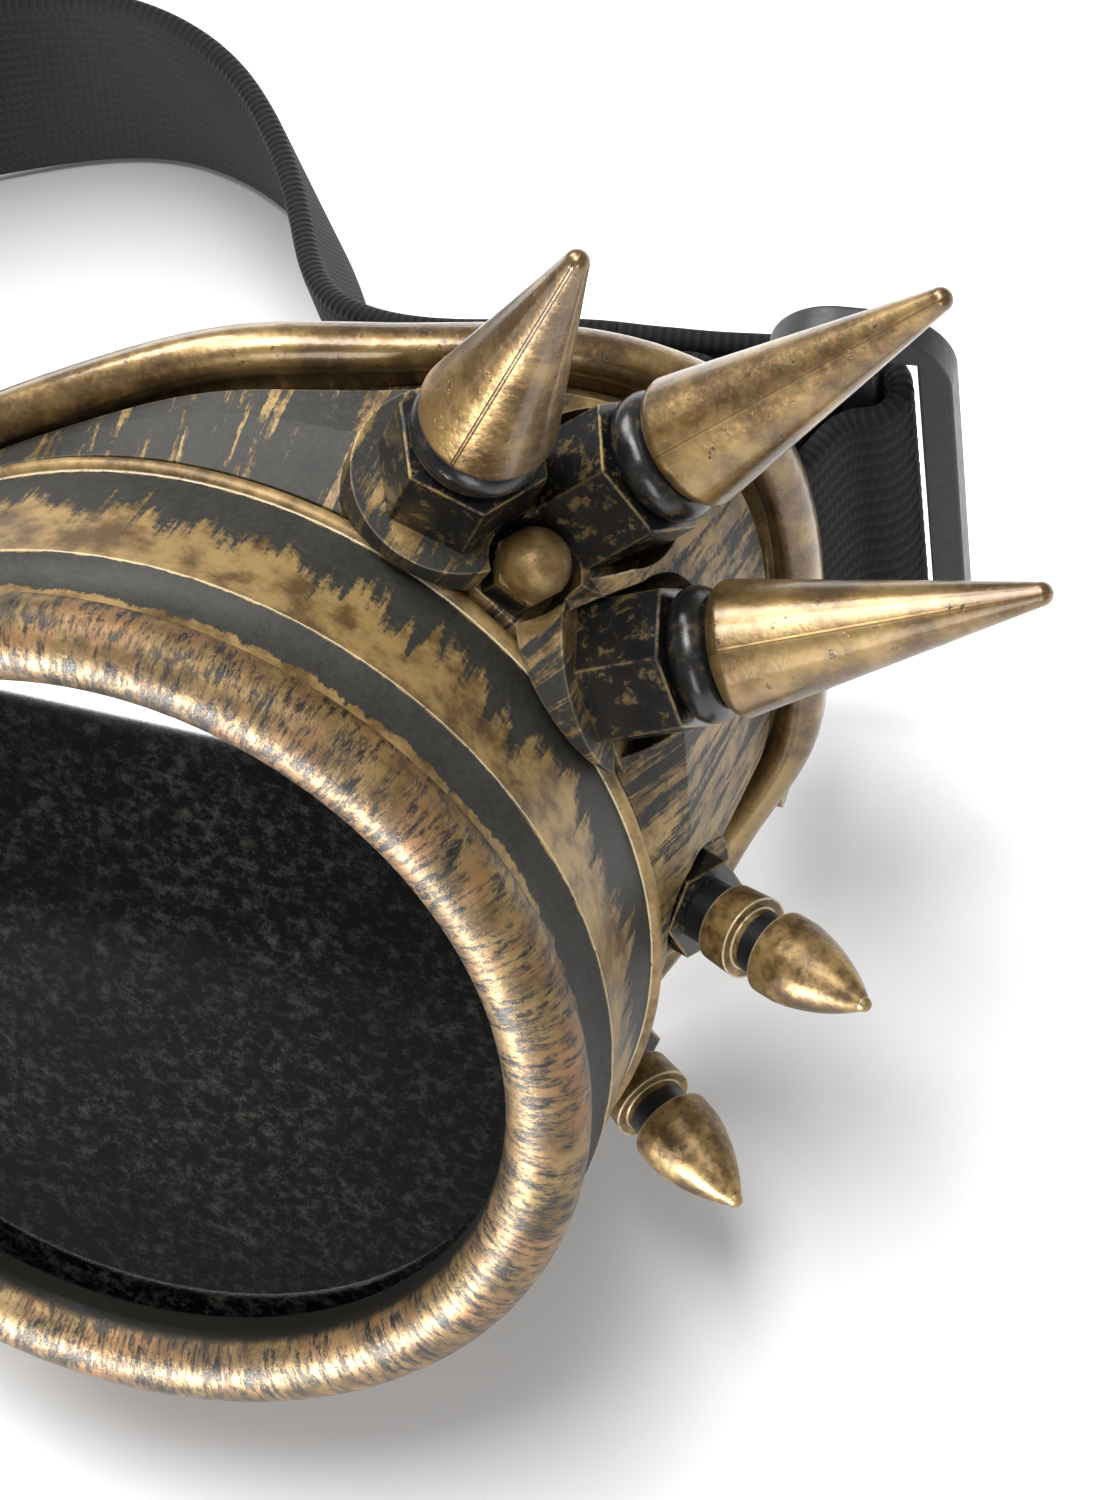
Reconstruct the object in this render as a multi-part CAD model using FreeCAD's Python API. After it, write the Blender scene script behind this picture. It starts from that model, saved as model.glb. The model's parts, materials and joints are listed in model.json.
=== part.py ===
import FreeCAD, Part
import math
import os
from FreeCAD import Placement, Rotation, Vector

# Steampunk goggles: screwed lens rings on flared cups with cone spikes, a nose hinge and an
# elastic head strap with a slider. All sizes are in millimetres.
# An eye piece is drawn about its lens axis: x points to the temple, y runs back from the front of
# the lens opening, z is up as worn. The pair is then tipped back, as it lies on a table.

# The pair
LENS_SPACING = 74.0
REST_PITCH = 28.0
SIDES = {"left": 1, "right": -1}

# Lens and its seal
LENS_RADIUS = 25.0
LENS_THICKNESS = 2.0
LENS_DEPTH = 1.3
LENS_LEDGE = 1.5
LENS_CLEARANCE = 0.3
SEAL_THICKNESS = 1.4

# Screwed lens ring: rolled lip, cove, tapered band and bead
LIP_DEPTH = 2.8
LIP_RISE = 2.2
LIP_TAIL = 0.6
COVE_WIDTH = 2.6
COVE_STEP = 0.9
COVE_HOLLOW = 0.1
BAND_LENGTH = 8.8
BAND_TAPER = 0.5
RING_WALL = 1.1
BEAD_WIDTH = 1.0
BEAD_HEIGHT = 0.5

# Screw thread between the ring and the neck of the cup
THREAD_PITCH = 3.0
THREAD_TURNS = 1.5
THREAD_HEIGHT = 1.0
THREAD_CLEARANCE = 0.3
THREAD_ROOT_WIDTH = 1.4
THREAD_CREST_WIDTH = 0.8
THREAD_EMBED = 0.4
THREAD_LEAD_IN = 1.8
NECK_WALL = 2.1

# Cup body, whose back edge is deep at the temple and shallow at the nose
SHOULDER_GAP = 0.3
SHOULDER_STEP = 0.2
SHOULDER_WALL = 1.8
WALL = 1.9
FLARE_LENGTH = 3.5
FLARE_SHARE = 0.75
NOSE_WALL_LENGTH = 1.7
TEMPLE_WALL_LENGTH = 21.2
EDGE_POWER = 2.2
BODY_INSET = 1.0
GROOVE_WIDTH = 2.2
GROOVE_DEPTH = 1.3
GROOVE_SLOPE = 0.45
LOFT_STATIONS = 24

# Rolled face rim behind the cup's edge: how far its bead flares out beyond the shoulder
RIM_BOTTOM_FLARE = 1.2
RIM_BOTTOM_ANGLE = -90.0
RIM_CHEEK_FLARE = -1.2
RIM_CHEEK_ANGLE = -20.0
RIM_TEMPLE_FLARE = 2.9
RIM_TEMPLE_ANGLE = 14.0
RIM_CORNER_FLARE = 9.7
RIM_CORNER_ANGLE = 46.0
RIM_TOP_FLARE = 3.3
RIM_TOP_ANGLE = 86.0
RIM_BROW_FLARE = 1.0
RIM_BROW_ANGLE = 115.0
RIM_NOSE_FLARE = 2.0
RIM_BEAD = 1.7
RIM_BEAD_SETBACK = 0.5
RIM_FLANGE = 1.8
RIM_GAP = 0.1
RIM_NOTCH_CLEARANCE = 0.3

# Cone spikes, each with a hex nut and a collar on a boss of the cup.
# A seat is given by its way round the shoulder from the temple, its height over the shoulder's
# radius, its depth behind the shoulder and the direction that it faces.
SPIKE_LENGTH = 19.0
SPIKE_BASE_RADIUS = 3.9
SPIKE_TIP_RADIUS = 0.7
SPIKE_BASE_ROUND = 0.9
SPIKE_SHANK_RADIUS = 1.6
SPIKE_NUT_CORNER_RADIUS = 4.5
SPIKE_NUT_HEIGHT = 5.0
SPIKE_COLLAR_RADIUS = 3.9
SPIKE_COLLAR_HEIGHT = 2.4
SPIKES = {
    "upper_spike": (30.3, 3.85, 2.5, Vector(0.40, -0.37, 0.84)),
    "rear_spike": (24.4, 4.85, 6.6, Vector(0.76, 0.03, 0.65)),
    "front_spike": (17.4, 1.1, 2.4, Vector(0.931, 0.10, 0.351)),
}

# Dome bolt and bullet studs
DOME_BOLT = (24.8, 1.3, 2.0, Vector(0.62, -0.35, 0.70))
DOME_CORNER_RADIUS = 2.3
DOME_HEX_HEIGHT = 3.2
DOME_RISE = 1.5
DOME_CHAMFER = 1.0
STUD_NUT_CORNER_RADIUS = 3.1
STUD_NUT_HEIGHT = 2.5
STUD_SHANK_RADIUS = 1.2
STUD_NECK_RADIUS = 1.9
STUD_GROOVE = 1.75
STUD_RING_LENGTH = 2.1
STUD_RING_TAPER = 0.15
STUD_RADIUS = 2.55
STUD_EDGE = 0.2
STUD_BARREL = 1.6
STUD_LENGTH = 7.4
STUD_TIP_RADIUS = 0.45
STUD_BULGE = 0.35
STUDS = {
    "upper_stud": (-0.2, -0.75, 5.4, Vector(0.88, -0.475, 0.046)),
    "lower_stud": (-18.1, -1.4, 9.2, Vector(0.776, -0.614, -0.143)),
}
HARDWARE_CLEARANCE = 0.1
BOSS_DEPTH = 3.0
BOSS_MARGIN = 1.2
BOSS_INSET = 0.5
SPOT_FACE_MARGIN = 0.4
SPOT_FACE_DEPTH = 14.0

# Nose hinge, on the mid plane
HINGE_SETBACK = 1.9
HINGE_BOTTOM = 4.0
HINGE_LENGTH = 12.0
HINGE_WALL = 1.75
HINGE_PIN_RADIUS = 1.4
HINGE_PIN_HEAD_RADIUS = 2.3
HINGE_PIN_HEAD_HEIGHT = 1.0
HINGE_CLEARANCE = 0.05
HINGE_GAP = 0.3
NOSE_ARM_THICKNESS = 3.6
NOSE_FLANGE = 2.3

# Strap bracket: a slotted plate behind the rim at the temple, which ends in a round bar
BRACKET_INSET = 2.5
BRACKET_REACH = 6.5
BRACKET_RISE = 8.8
BRACKET_TILT = 20.0
BRACKET_THICKNESS = 3.0
BRACKET_WEB = 2.5
BRACKET_TOP_LENGTH = 5.6
BRACKET_LOW_LENGTH = 8.6

# Elastic strap and its slider
STRAP_WIDTH = 23.5
STRAP_THICKNESS = 1.5
STRAP_CLEARANCE = 0.3
STRAP_EDGE_ROOM = 0.6
STRAP_FINE_STATION = 0.9
STRAP_COARSE_STATION = 5.0
SLIDER_BAR = 2.0
SLIDER_SLOT = 2.6
SLIDER_THICKNESS = 2.0
SLIDER_RAIL = 2.4
SLIDER_LOW_ROOM = 0.4
SLIDER_TOP_ROOM = 3.3
SLIDER_CORNER = 4.5
STITCH_THICKNESS = 0.4
STITCH_LENGTH = 0.8
STITCH_GAP = 0.1
STITCH_MARGIN = 2.5
STITCH_SPACING = 1.5

# Route of the strap near a temple, from the middle of the bracket's bar: outwards and backwards
SLIDER_CENTRE = (4.3, 5.2)
SLIDER_HEADING = (0.995, 0.10)
LEFT_TAIL_TURN = (-3.6, 3.0)
LEFT_BAR_END = 345.0
LEFT_SEAM = [(-1.5, 7.2), (-5.5, 6.6), (-7.5, 6.4), (-9.5, 6.2)]
LEFT_JUNCTION = (-11.0, 6.1)
RIGHT_SEAM = [(-9.5, 9.3), (-7.0, 8.1), (-4.5, 7.0)]
RIGHT_OUTER_TURN = [(0.5, 4.7), (2.4, 2.2)]
RIGHT_TAIL_TURN = (-3.2, 2.6)
ARC_STEPS = 6

# Route of the head band on the table: sideways from the mid plane as a share of the way to the
# bracket's bar, backwards from the lens openings, and the height of its lower edge
BAND_ROUTE = [
    (0.665, 46.6, 13.6),
    (0.535, 49.8, 11.0),
    (0.46, 56.8, 7.4),
    (0.36, 66.8, 3.4),
    (0.25, 73.0, 1.0),
    (0.13, 75.2, 0.3),
    (-0.04, 72.6, 0.3),
    (-0.26, 65.8, 1.4),
    (-0.48, 59.6, 4.4),
    (-0.66, 56.2, 7.6),
]
LEAN_START = 22.0
LEAN_END = 52.0
BAND_LEAN = -6.0

# Sizes that follow from those above
OPENING_RADIUS = LENS_RADIUS - LENS_LEDGE
SEAT_DEPTH = LENS_DEPTH + LENS_THICKNESS
NECK_FRONT = SEAT_DEPTH + SEAL_THICKNESS
NECK_RADIUS = LENS_RADIUS
NECK_BORE_RADIUS = NECK_RADIUS - NECK_WALL
RING_BORE_RADIUS = NECK_RADIUS + THREAD_HEIGHT + THREAD_CLEARANCE
BAND_REAR_RADIUS = RING_BORE_RADIUS + RING_WALL
BAND_FRONT_RADIUS = BAND_REAR_RADIUS + BAND_TAPER
LIP_OUTER_RADIUS = BAND_FRONT_RADIUS - COVE_STEP
COVE_DEPTH = LIP_DEPTH + COVE_WIDTH
BAND_END_DEPTH = COVE_DEPTH + BAND_LENGTH
RING_LENGTH = BAND_END_DEPTH + BEAD_WIDTH
THREAD_START = NECK_FRONT + THREAD_LEAD_IN
SHOULDER_DEPTH = RING_LENGTH + SHOULDER_GAP
SHOULDER_RADIUS = BAND_REAR_RADIUS + SHOULDER_STEP
EDGE_TEMPLE_DEPTH = SHOULDER_DEPTH + TEMPLE_WALL_LENGTH
EDGE_INSET = BODY_INSET + GROOVE_DEPTH + WALL
NOSE_FLANGE_RADIUS = SHOULDER_RADIUS + RIM_NOSE_FLARE - EDGE_INSET + NOSE_FLANGE
SPIKE_HOLE = SPIKE_SHANK_RADIUS + HARDWARE_CLEARANCE
STUD_HOLE = STUD_SHANK_RADIUS + HARDWARE_CLEARANCE
HINGE_DEPTH = SHOULDER_DEPTH + HINGE_SETBACK
HINGE_TOP = HINGE_BOTTOM + HINGE_LENGTH
HINGE_HOLE = HINGE_PIN_RADIUS + HINGE_CLEARANCE
BRACKET_HEIGHT = STRAP_WIDTH + 2 * (STRAP_EDGE_ROOM + BRACKET_WEB)
BRACKET_WINDOW = STRAP_THICKNESS + 2 * STRAP_CLEARANCE
BAR_BEND = BRACKET_THICKNESS / 2 + STRAP_CLEARANCE + STRAP_THICKNESS / 2
SLIDER_BEND = math.hypot(SLIDER_BAR, SLIDER_THICKNESS) / 2 + STRAP_CLEARANCE / 2 + STRAP_THICKNESS / 2
STRAP_LAYER = STRAP_THICKNESS + STRAP_CLEARANCE
TEMPLE_LEAN = REST_PITCH - BRACKET_TILT
QUARTER = math.sqrt(0.5)


def half_plane(radius, depth, angle):
    """Point at a radius from the lens axis and a depth, in the half plane at an angle from the temple."""
    turn = math.radians(angle)
    return Vector(radius * math.cos(turn), depth, radius * math.sin(turn))


def outline(start, *steps):
    """Closed wire in the xy plane: a step is a point for a line, or two points for an arc."""
    here = Vector(start[0], start[1], 0)
    edges = []
    for step in steps + (start,):
        if isinstance(step[0], tuple):
            middle = Vector(step[0][0], step[0][1], 0)
            end = Vector(step[1][0], step[1][1], 0)
            edges.append(Part.Arc(here, middle, end).toShape())
        else:
            end = Vector(step[0], step[1], 0)
            edges.append(Part.makeLine(here, end))
        here = end
    return Part.Wire(edges)


def turned(wire):
    """Solid of revolution about the lens axis."""
    return Part.Face(wire).revolve(Vector(0, 0, 0), Vector(0, 1, 0), 360)


def turned_upright(wire):
    """Solid of revolution that stands on the z axis."""
    solid = turned(wire)
    solid.rotate(Vector(0, 0, 0), Vector(1, 0, 0), 90)
    return solid


def rod(radius, start, length):
    """Cylinder about the lens axis."""
    return Part.makeCylinder(radius, length, Vector(0, start, 0), Vector(0, 1, 0))


def tube(outer, inner, start, length):
    """Ring about the lens axis."""
    return rod(outer, start, length).cut(rod(inner, start, length))


def smooth(share):
    """Smooth step from 0 to 1."""
    return share * share * (3 - 2 * share)


def rim_radius(angle):
    """Radius of the rim bead's centre: fullest at the upper outer corner, least at the cheek."""
    marks = [
        (-180.0, RIM_NOSE_FLARE),
        (RIM_BOTTOM_ANGLE, RIM_BOTTOM_FLARE),
        (RIM_CHEEK_ANGLE, RIM_CHEEK_FLARE),
        (RIM_TEMPLE_ANGLE, RIM_TEMPLE_FLARE),
        (RIM_CORNER_ANGLE, RIM_CORNER_FLARE),
        (RIM_TOP_ANGLE, RIM_TOP_FLARE),
        (RIM_BROW_ANGLE, RIM_BROW_FLARE),
        (180.0, RIM_NOSE_FLARE),
    ]
    turn = (angle + 180) % 360 - 180
    flare = RIM_NOSE_FLARE
    for (low, first), (high, last) in zip(marks, marks[1:]):
        if low <= turn < high:
            flare = first + (last - first) * smooth((turn - low) / (high - low))
    return SHOULDER_RADIUS + flare


def wall_length(angle):
    """Length of the cup's body behind the shoulder."""
    share = (1 + math.cos(math.radians(angle))) / 2
    return NOSE_WALL_LENGTH + (TEMPLE_WALL_LENGTH - NOSE_WALL_LENGTH) * share ** EDGE_POWER


def edge_depth(angle):
    """Depth of the cup's back edge."""
    return SHOULDER_DEPTH + wall_length(angle)


def thread_ridge(root_radius, crest_radius, start_depth):
    """Right-hand helical ridge about the lens axis, sunk a little into what carries it."""
    sink = math.copysign(THREAD_EMBED, root_radius - crest_radius)
    helix = Part.makeHelix(THREAD_PITCH, THREAD_PITCH * THREAD_TURNS, root_radius)
    profile = Part.makePolygon([
        Vector(root_radius + sink, 0, -THREAD_ROOT_WIDTH / 2),
        Vector(crest_radius, 0, -THREAD_CREST_WIDTH / 2),
        Vector(crest_radius, 0, THREAD_CREST_WIDTH / 2),
        Vector(root_radius + sink, 0, THREAD_ROOT_WIDTH / 2),
        Vector(root_radius + sink, 0, -THREAD_ROOT_WIDTH / 2),
    ])
    ridge = Part.Wire(helix).makePipeShell([profile], True, True)
    ridge.Placement = Placement(Vector(0, start_depth, 0), Rotation(Vector(1, 0, 0), -90))
    return ridge


def make_lens_ring():
    """Ring with a rolled lip in front of the lens and a thread in its bore."""
    crest_radius = (OPENING_RADIUS + LIP_OUTER_RADIUS) / 2
    cove_middle = (LIP_DEPTH + COVE_DEPTH) / 2
    bead_middle = (BAND_END_DEPTH + RING_LENGTH) / 2
    pocket_radius = LENS_RADIUS + LENS_CLEARANCE
    body = turned(outline(
        (OPENING_RADIUS, 0),
        ((crest_radius, -LIP_RISE), (LIP_OUTER_RADIUS, LIP_DEPTH - LIP_TAIL)),
        ((LIP_OUTER_RADIUS + COVE_HOLLOW, cove_middle), (BAND_FRONT_RADIUS, COVE_DEPTH)),
        (BAND_REAR_RADIUS, BAND_END_DEPTH),
        ((BAND_REAR_RADIUS + BEAD_HEIGHT, bead_middle), (BAND_REAR_RADIUS, RING_LENGTH)),
        (RING_BORE_RADIUS, RING_LENGTH),
        (RING_BORE_RADIUS, NECK_FRONT),
        (pocket_radius, SEAT_DEPTH),
        (pocket_radius, LENS_DEPTH),
        (OPENING_RADIUS, LENS_DEPTH),
    ))
    ridge_start = THREAD_START + THREAD_PITCH / 2
    return body.fuse(thread_ridge(RING_BORE_RADIUS, RING_BORE_RADIUS - THREAD_HEIGHT, ridge_start))


def make_lens():
    return rod(LENS_RADIUS, LENS_DEPTH, LENS_THICKNESS)


def make_seal():
    return tube(LENS_RADIUS, NECK_BORE_RADIUS, SEAT_DEPTH, SEAL_THICKNESS)


def rim_inner_radius(angle):
    """Radius of the inside of the cup's wall at its back edge."""
    return rim_radius(angle) - EDGE_INSET


def cup_section(angle):
    """Closed section of the cup's wall at an angle: shoulder, flare, body, groove and back edge."""
    length = wall_length(angle)
    share = min(1, length / (FLARE_LENGTH + SHOULDER_WALL + GROOVE_WIDTH))
    flare = FLARE_LENGTH * share
    wall = SHOULDER_WALL * share
    edge = SHOULDER_DEPTH + length
    groove_front = edge - GROOVE_WIDTH * share
    body_radius = rim_radius(angle) - BODY_INSET
    floor_radius = body_radius - GROOVE_DEPTH
    flare_radius = SHOULDER_RADIUS + (body_radius - SHOULDER_RADIUS) * FLARE_SHARE
    neck_middle = NECK_RADIUS - NECK_WALL / 2
    points = [
        (neck_middle, SHOULDER_DEPTH),
        (SHOULDER_RADIUS, SHOULDER_DEPTH),
        (flare_radius, SHOULDER_DEPTH + flare),
        (body_radius, groove_front),
        (floor_radius, groove_front + GROOVE_SLOPE * share),
        (floor_radius, edge),
        (floor_radius - WALL, edge),
        (flare_radius - WALL, SHOULDER_DEPTH + flare + wall),
        (neck_middle, SHOULDER_DEPTH + wall),
    ]
    vertices = [half_plane(radius, depth, angle) for radius, depth in points]
    return Part.makePolygon(vertices + vertices[:1])


def body_section(angle):
    """Closed section of the cup's filled body at an angle, a little inside its outer surface."""
    length = wall_length(angle)
    share = min(1, length / (FLARE_LENGTH + SHOULDER_WALL + GROOVE_WIDTH))
    inset = BOSS_INSET * share
    front = SHOULDER_DEPTH + inset
    back = SHOULDER_DEPTH + length - GROOVE_WIDTH * share - inset
    body_radius = rim_radius(angle) - BODY_INSET
    flare_radius = SHOULDER_RADIUS + (body_radius - SHOULDER_RADIUS) * FLARE_SHARE
    points = [
        (NECK_BORE_RADIUS, front),
        (SHOULDER_RADIUS - BOSS_INSET, front),
        (flare_radius - BOSS_INSET, front + FLARE_LENGTH * share),
        (body_radius - BOSS_INSET, back),
        (NECK_BORE_RADIUS, back),
    ]
    vertices = [half_plane(radius, depth, angle) for radius, depth in points]
    return Part.makePolygon(vertices + vertices[:1])


def rim_section(angle):
    """Closed section of the rolled rim at an angle: a flange against the cup's edge and a round bead."""
    radius = rim_radius(angle)
    front = edge_depth(angle) + RIM_GAP
    inner = rim_inner_radius(angle)
    centre = front + RIM_BEAD_SETBACK
    slant = RIM_BEAD * QUARTER

    def at(out, back):
        return half_plane(out, back, angle)

    flange_front = at(radius - slant, front)
    flange_back = at(radius - slant, centre + slant)
    bead_front = at(radius, centre - RIM_BEAD)
    bead_out = at(radius + RIM_BEAD, centre)
    bead_back = at(radius, centre + RIM_BEAD)
    edges = [
        Part.makeLine(at(inner, front), flange_front),
        Part.Arc(flange_front, bead_front, bead_out).toShape(),
        Part.Arc(bead_out, bead_back, flange_back).toShape(),
        Part.makeLine(flange_back, at(inner, front + RIM_FLANGE)),
        Part.makeLine(at(inner, front + RIM_FLANGE), at(inner, front)),
    ]
    return Part.Wire(edges)


def ring_loft(section):
    """Closed loft of a section carried round the lens axis, starting at the nose."""
    step = 360 / LOFT_STATIONS
    return Part.makeLoft([section(180 + step * turn) for turn in range(LOFT_STATIONS)], True, False, True)


def on_seat(shape, place):
    """A piece drawn up the z axis, moved to its seat on the cup."""
    around, height, setback, direction = place
    angle = math.degrees(around / SHOULDER_RADIUS)
    seat = half_plane(SHOULDER_RADIUS + height, SHOULDER_DEPTH + setback, angle)
    moved = shape.copy()
    moved.Placement = Placement(seat, Rotation(Vector(0, 0, 1), direction)).multiply(moved.Placement)
    return moved


def hex_prism(corner_radius, height):
    corners = []
    for turn in range(7):
        angle = math.radians(60 * turn)
        corners.append(Vector(corner_radius * math.cos(angle), corner_radius * math.sin(angle), 0))
    return Part.Face(Part.makePolygon(corners)).extrude(Vector(0, 0, height))


def nut(corner_radius, height, hole_radius):
    return hex_prism(corner_radius, height).cut(Part.makeCylinder(hole_radius, height))


def spike_nut():
    return nut(SPIKE_NUT_CORNER_RADIUS, SPIKE_NUT_HEIGHT, SPIKE_HOLE)


def stud_nut():
    return nut(STUD_NUT_CORNER_RADIUS, STUD_NUT_HEIGHT, STUD_HOLE)


def spike():
    """Cone with a blunt tip and a shank that goes through the collar, the nut and the cup."""
    base = SPIKE_NUT_HEIGHT + SPIKE_COLLAR_HEIGHT
    tip = base + SPIKE_LENGTH
    foot = SPIKE_BASE_RADIUS - SPIKE_BASE_ROUND
    ball = tip - SPIKE_TIP_RADIUS
    return turned_upright(outline(
        (0, -BOSS_DEPTH),
        (SPIKE_SHANK_RADIUS, -BOSS_DEPTH),
        (SPIKE_SHANK_RADIUS, base),
        (foot, base),
        ((foot + SPIKE_BASE_ROUND * QUARTER, base + SPIKE_BASE_ROUND * (1 - QUARTER)),
         (SPIKE_BASE_RADIUS, base + SPIKE_BASE_ROUND)),
        (SPIKE_TIP_RADIUS, ball),
        ((SPIKE_TIP_RADIUS * QUARTER, ball + SPIKE_TIP_RADIUS * QUARTER), (0, tip)),
    ))


def spike_collar():
    """Round-edged collar between the nut and the cone."""
    low = SPIKE_NUT_HEIGHT
    high = low + SPIKE_COLLAR_HEIGHT
    edge = SPIKE_COLLAR_RADIUS - SPIKE_COLLAR_HEIGHT / 2
    return turned_upright(outline(
        (SPIKE_HOLE, low),
        (edge, low),
        ((SPIKE_COLLAR_RADIUS, (low + high) / 2), (edge, high)),
        (SPIKE_HOLE, high),
    ))


def stud():
    """Bullet stud: shank, neck, ring, neck and a pointed bullet."""
    ring_low = STUD_NUT_HEIGHT + STUD_GROOVE
    ring_high = ring_low + STUD_RING_LENGTH
    bullet = ring_high + STUD_GROOVE
    tip = bullet + STUD_LENGTH
    barrel = bullet + STUD_BARREL
    ball = tip - STUD_TIP_RADIUS
    bulge = (STUD_RADIUS + STUD_TIP_RADIUS) / 2 + STUD_BULGE
    return turned_upright(outline(
        (0, -BOSS_DEPTH),
        (STUD_SHANK_RADIUS, -BOSS_DEPTH),
        (STUD_SHANK_RADIUS, STUD_NUT_HEIGHT),
        (STUD_NECK_RADIUS, STUD_NUT_HEIGHT),
        (STUD_NECK_RADIUS, ring_low),
        (STUD_RADIUS - STUD_RING_TAPER, ring_low),
        (STUD_RADIUS, ring_high),
        (STUD_NECK_RADIUS, ring_high),
        (STUD_NECK_RADIUS, bullet),
        (STUD_RADIUS, bullet + STUD_EDGE),
        (STUD_RADIUS, barrel),
        ((bulge, (barrel + ball) / 2), (STUD_TIP_RADIUS, ball)),
        ((STUD_TIP_RADIUS * QUARTER, ball + STUD_TIP_RADIUS * QUARTER), (0, tip)),
    ))


def dome_bolt():
    """Hex bolt with a domed top and a shank in the cup."""
    flat_radius = DOME_CORNER_RADIUS * math.cos(math.radians(30))
    ball_radius = (flat_radius ** 2 + DOME_RISE ** 2) / (2 * DOME_RISE)
    top = DOME_HEX_HEIGHT + DOME_RISE
    ball = Part.makeSphere(ball_radius, Vector(0, 0, top - ball_radius))
    prism = hex_prism(DOME_CORNER_RADIUS, DOME_HEX_HEIGHT - DOME_CHAMFER)
    dome = hex_prism(DOME_CORNER_RADIUS, top).common(ball)
    shank = Part.makeCylinder(STUD_SHANK_RADIUS, BOSS_DEPTH, Vector(0, 0, -BOSS_DEPTH))
    return prism.fuse(dome).fuse(shank).removeSplitter()


def seats():
    """Each fastener's place, the radius of its seat and the radius of its hole."""
    for place in SPIKES.values():
        yield place, SPIKE_NUT_CORNER_RADIUS, SPIKE_HOLE
    for place in STUDS.values():
        yield place, STUD_NUT_CORNER_RADIUS, STUD_HOLE
    yield DOME_BOLT, DOME_CORNER_RADIUS, STUD_HOLE


def knuckle_spans(side):
    """Heights of the knuckles: the left cup has the outer two, the right cup the middle one."""
    third = HINGE_LENGTH / 3
    low = HINGE_BOTTOM + third
    high = HINGE_TOP - third
    if side == "left":
        return [(HINGE_BOTTOM, low), (high, HINGE_TOP)]
    return [(low + HINGE_GAP, high - HINGE_GAP)]


def nose_arms(side):
    """Hinge knuckles on the mid plane and the arms that carry them from the cup's shoulder."""
    to_middle = LENS_SPACING / 2
    length = to_middle - NECK_RADIUS * QUARTER
    arms = []
    for low, high in knuckle_spans(side):
        foot = Vector(-to_middle, HINGE_DEPTH, low)
        barrel = Part.makeCylinder(HINGE_HOLE + HINGE_WALL, high - low, foot)
        corner = foot - Vector(0, NOSE_ARM_THICKNESS / 2, 0)
        plate = Part.makeBox(length, NOSE_ARM_THICKNESS, high - low, corner)
        hole = Part.makeCylinder(HINGE_HOLE, high - low, foot)
        arms.append(barrel.fuse(plate).cut(hole).cut(rod(NECK_RADIUS, 0, EDGE_TEMPLE_DEPTH)))
    behind_edge = rod(NOSE_FLANGE_RADIUS + RIM_NOTCH_CLEARANCE, edge_depth(180), EDGE_TEMPLE_DEPTH)
    return [arm.cut(behind_edge) for arm in arms]


def nose_notch():
    """Room in the rim for the nose arms, right through its bead, and for the hinge pin's heads."""
    margin = RIM_NOTCH_CLEARANCE
    to_middle = LENS_SPACING / 2
    corner = Vector(-to_middle, HINGE_DEPTH - NOSE_ARM_THICKNESS / 2 - margin, HINGE_BOTTOM - margin)
    depth = NOSE_ARM_THICKNESS + 2 * margin + RIM_BEAD
    room = Part.makeBox(to_middle, depth, HINGE_LENGTH + 2 * margin, corner)
    room = room.cut(rod(NOSE_FLANGE_RADIUS, 0, EDGE_TEMPLE_DEPTH))
    pin_foot = Vector(-to_middle, HINGE_DEPTH, HINGE_BOTTOM - HINGE_PIN_HEAD_HEIGHT - margin)
    pin_length = HINGE_LENGTH + 2 * (HINGE_PIN_HEAD_HEIGHT + margin)
    return room.fuse(Part.makeCylinder(HINGE_PIN_HEAD_RADIUS + margin, pin_length, pin_foot))


def make_hinge_pin():
    """Pin through the knuckles with a head at each end."""
    axis = Vector(0, HINGE_DEPTH, 0)
    pin = Part.makeCylinder(HINGE_PIN_RADIUS, HINGE_LENGTH, axis + Vector(0, 0, HINGE_BOTTOM))
    for foot in (HINGE_BOTTOM - HINGE_PIN_HEAD_HEIGHT, HINGE_TOP):
        head = Part.makeCylinder(HINGE_PIN_HEAD_RADIUS, HINGE_PIN_HEAD_HEIGHT, axis + Vector(0, 0, foot))
        pin = pin.fuse(head)
    return pin.removeSplitter()


def temple_place():
    """Frame of the strap bracket's bar on the left eye piece: z runs up the bar."""
    place = Vector(rim_radius(0) - BRACKET_INSET, EDGE_TEMPLE_DEPTH + BRACKET_REACH, BRACKET_RISE)
    return Placement(place, Rotation(Vector(1, 0, 0), BRACKET_TILT))


def placed(shape, placement):
    moved = shape.copy()
    moved.Placement = placement.multiply(moved.Placement)
    return moved


def make_bracket():
    """Strap bracket: a plate with a slot in front of its end bar."""
    half = BRACKET_THICKNESS / 2
    top = BRACKET_HEIGHT / 2
    corners = [
        Vector(-half, 0, -top),
        Vector(-half, 0, top),
        Vector(-half, -BRACKET_TOP_LENGTH, top),
        Vector(-half, -BRACKET_LOW_LENGTH, -top),
        Vector(-half, 0, -top),
    ]
    plate = Part.Face(Part.makePolygon(corners)).extrude(Vector(BRACKET_THICKNESS, 0, 0))
    window_height = BRACKET_HEIGHT - 2 * BRACKET_WEB
    window_depth = BRACKET_WINDOW + half
    window = Part.makeBox(
        BRACKET_THICKNESS, window_depth, window_height, Vector(-half, -window_depth, -window_height / 2))
    bar = Part.makeCylinder(half, BRACKET_HEIGHT, Vector(0, 0, -top))
    return placed(plate.cut(window).fuse(bar), temple_place())


def mirrored(shape, side):
    """The shape as it is on the left, or its mirror image on the right."""
    if side == "left":
        return shape
    return shape.mirror(Vector(0, 0, 0), Vector(1, 0, 0))


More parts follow.
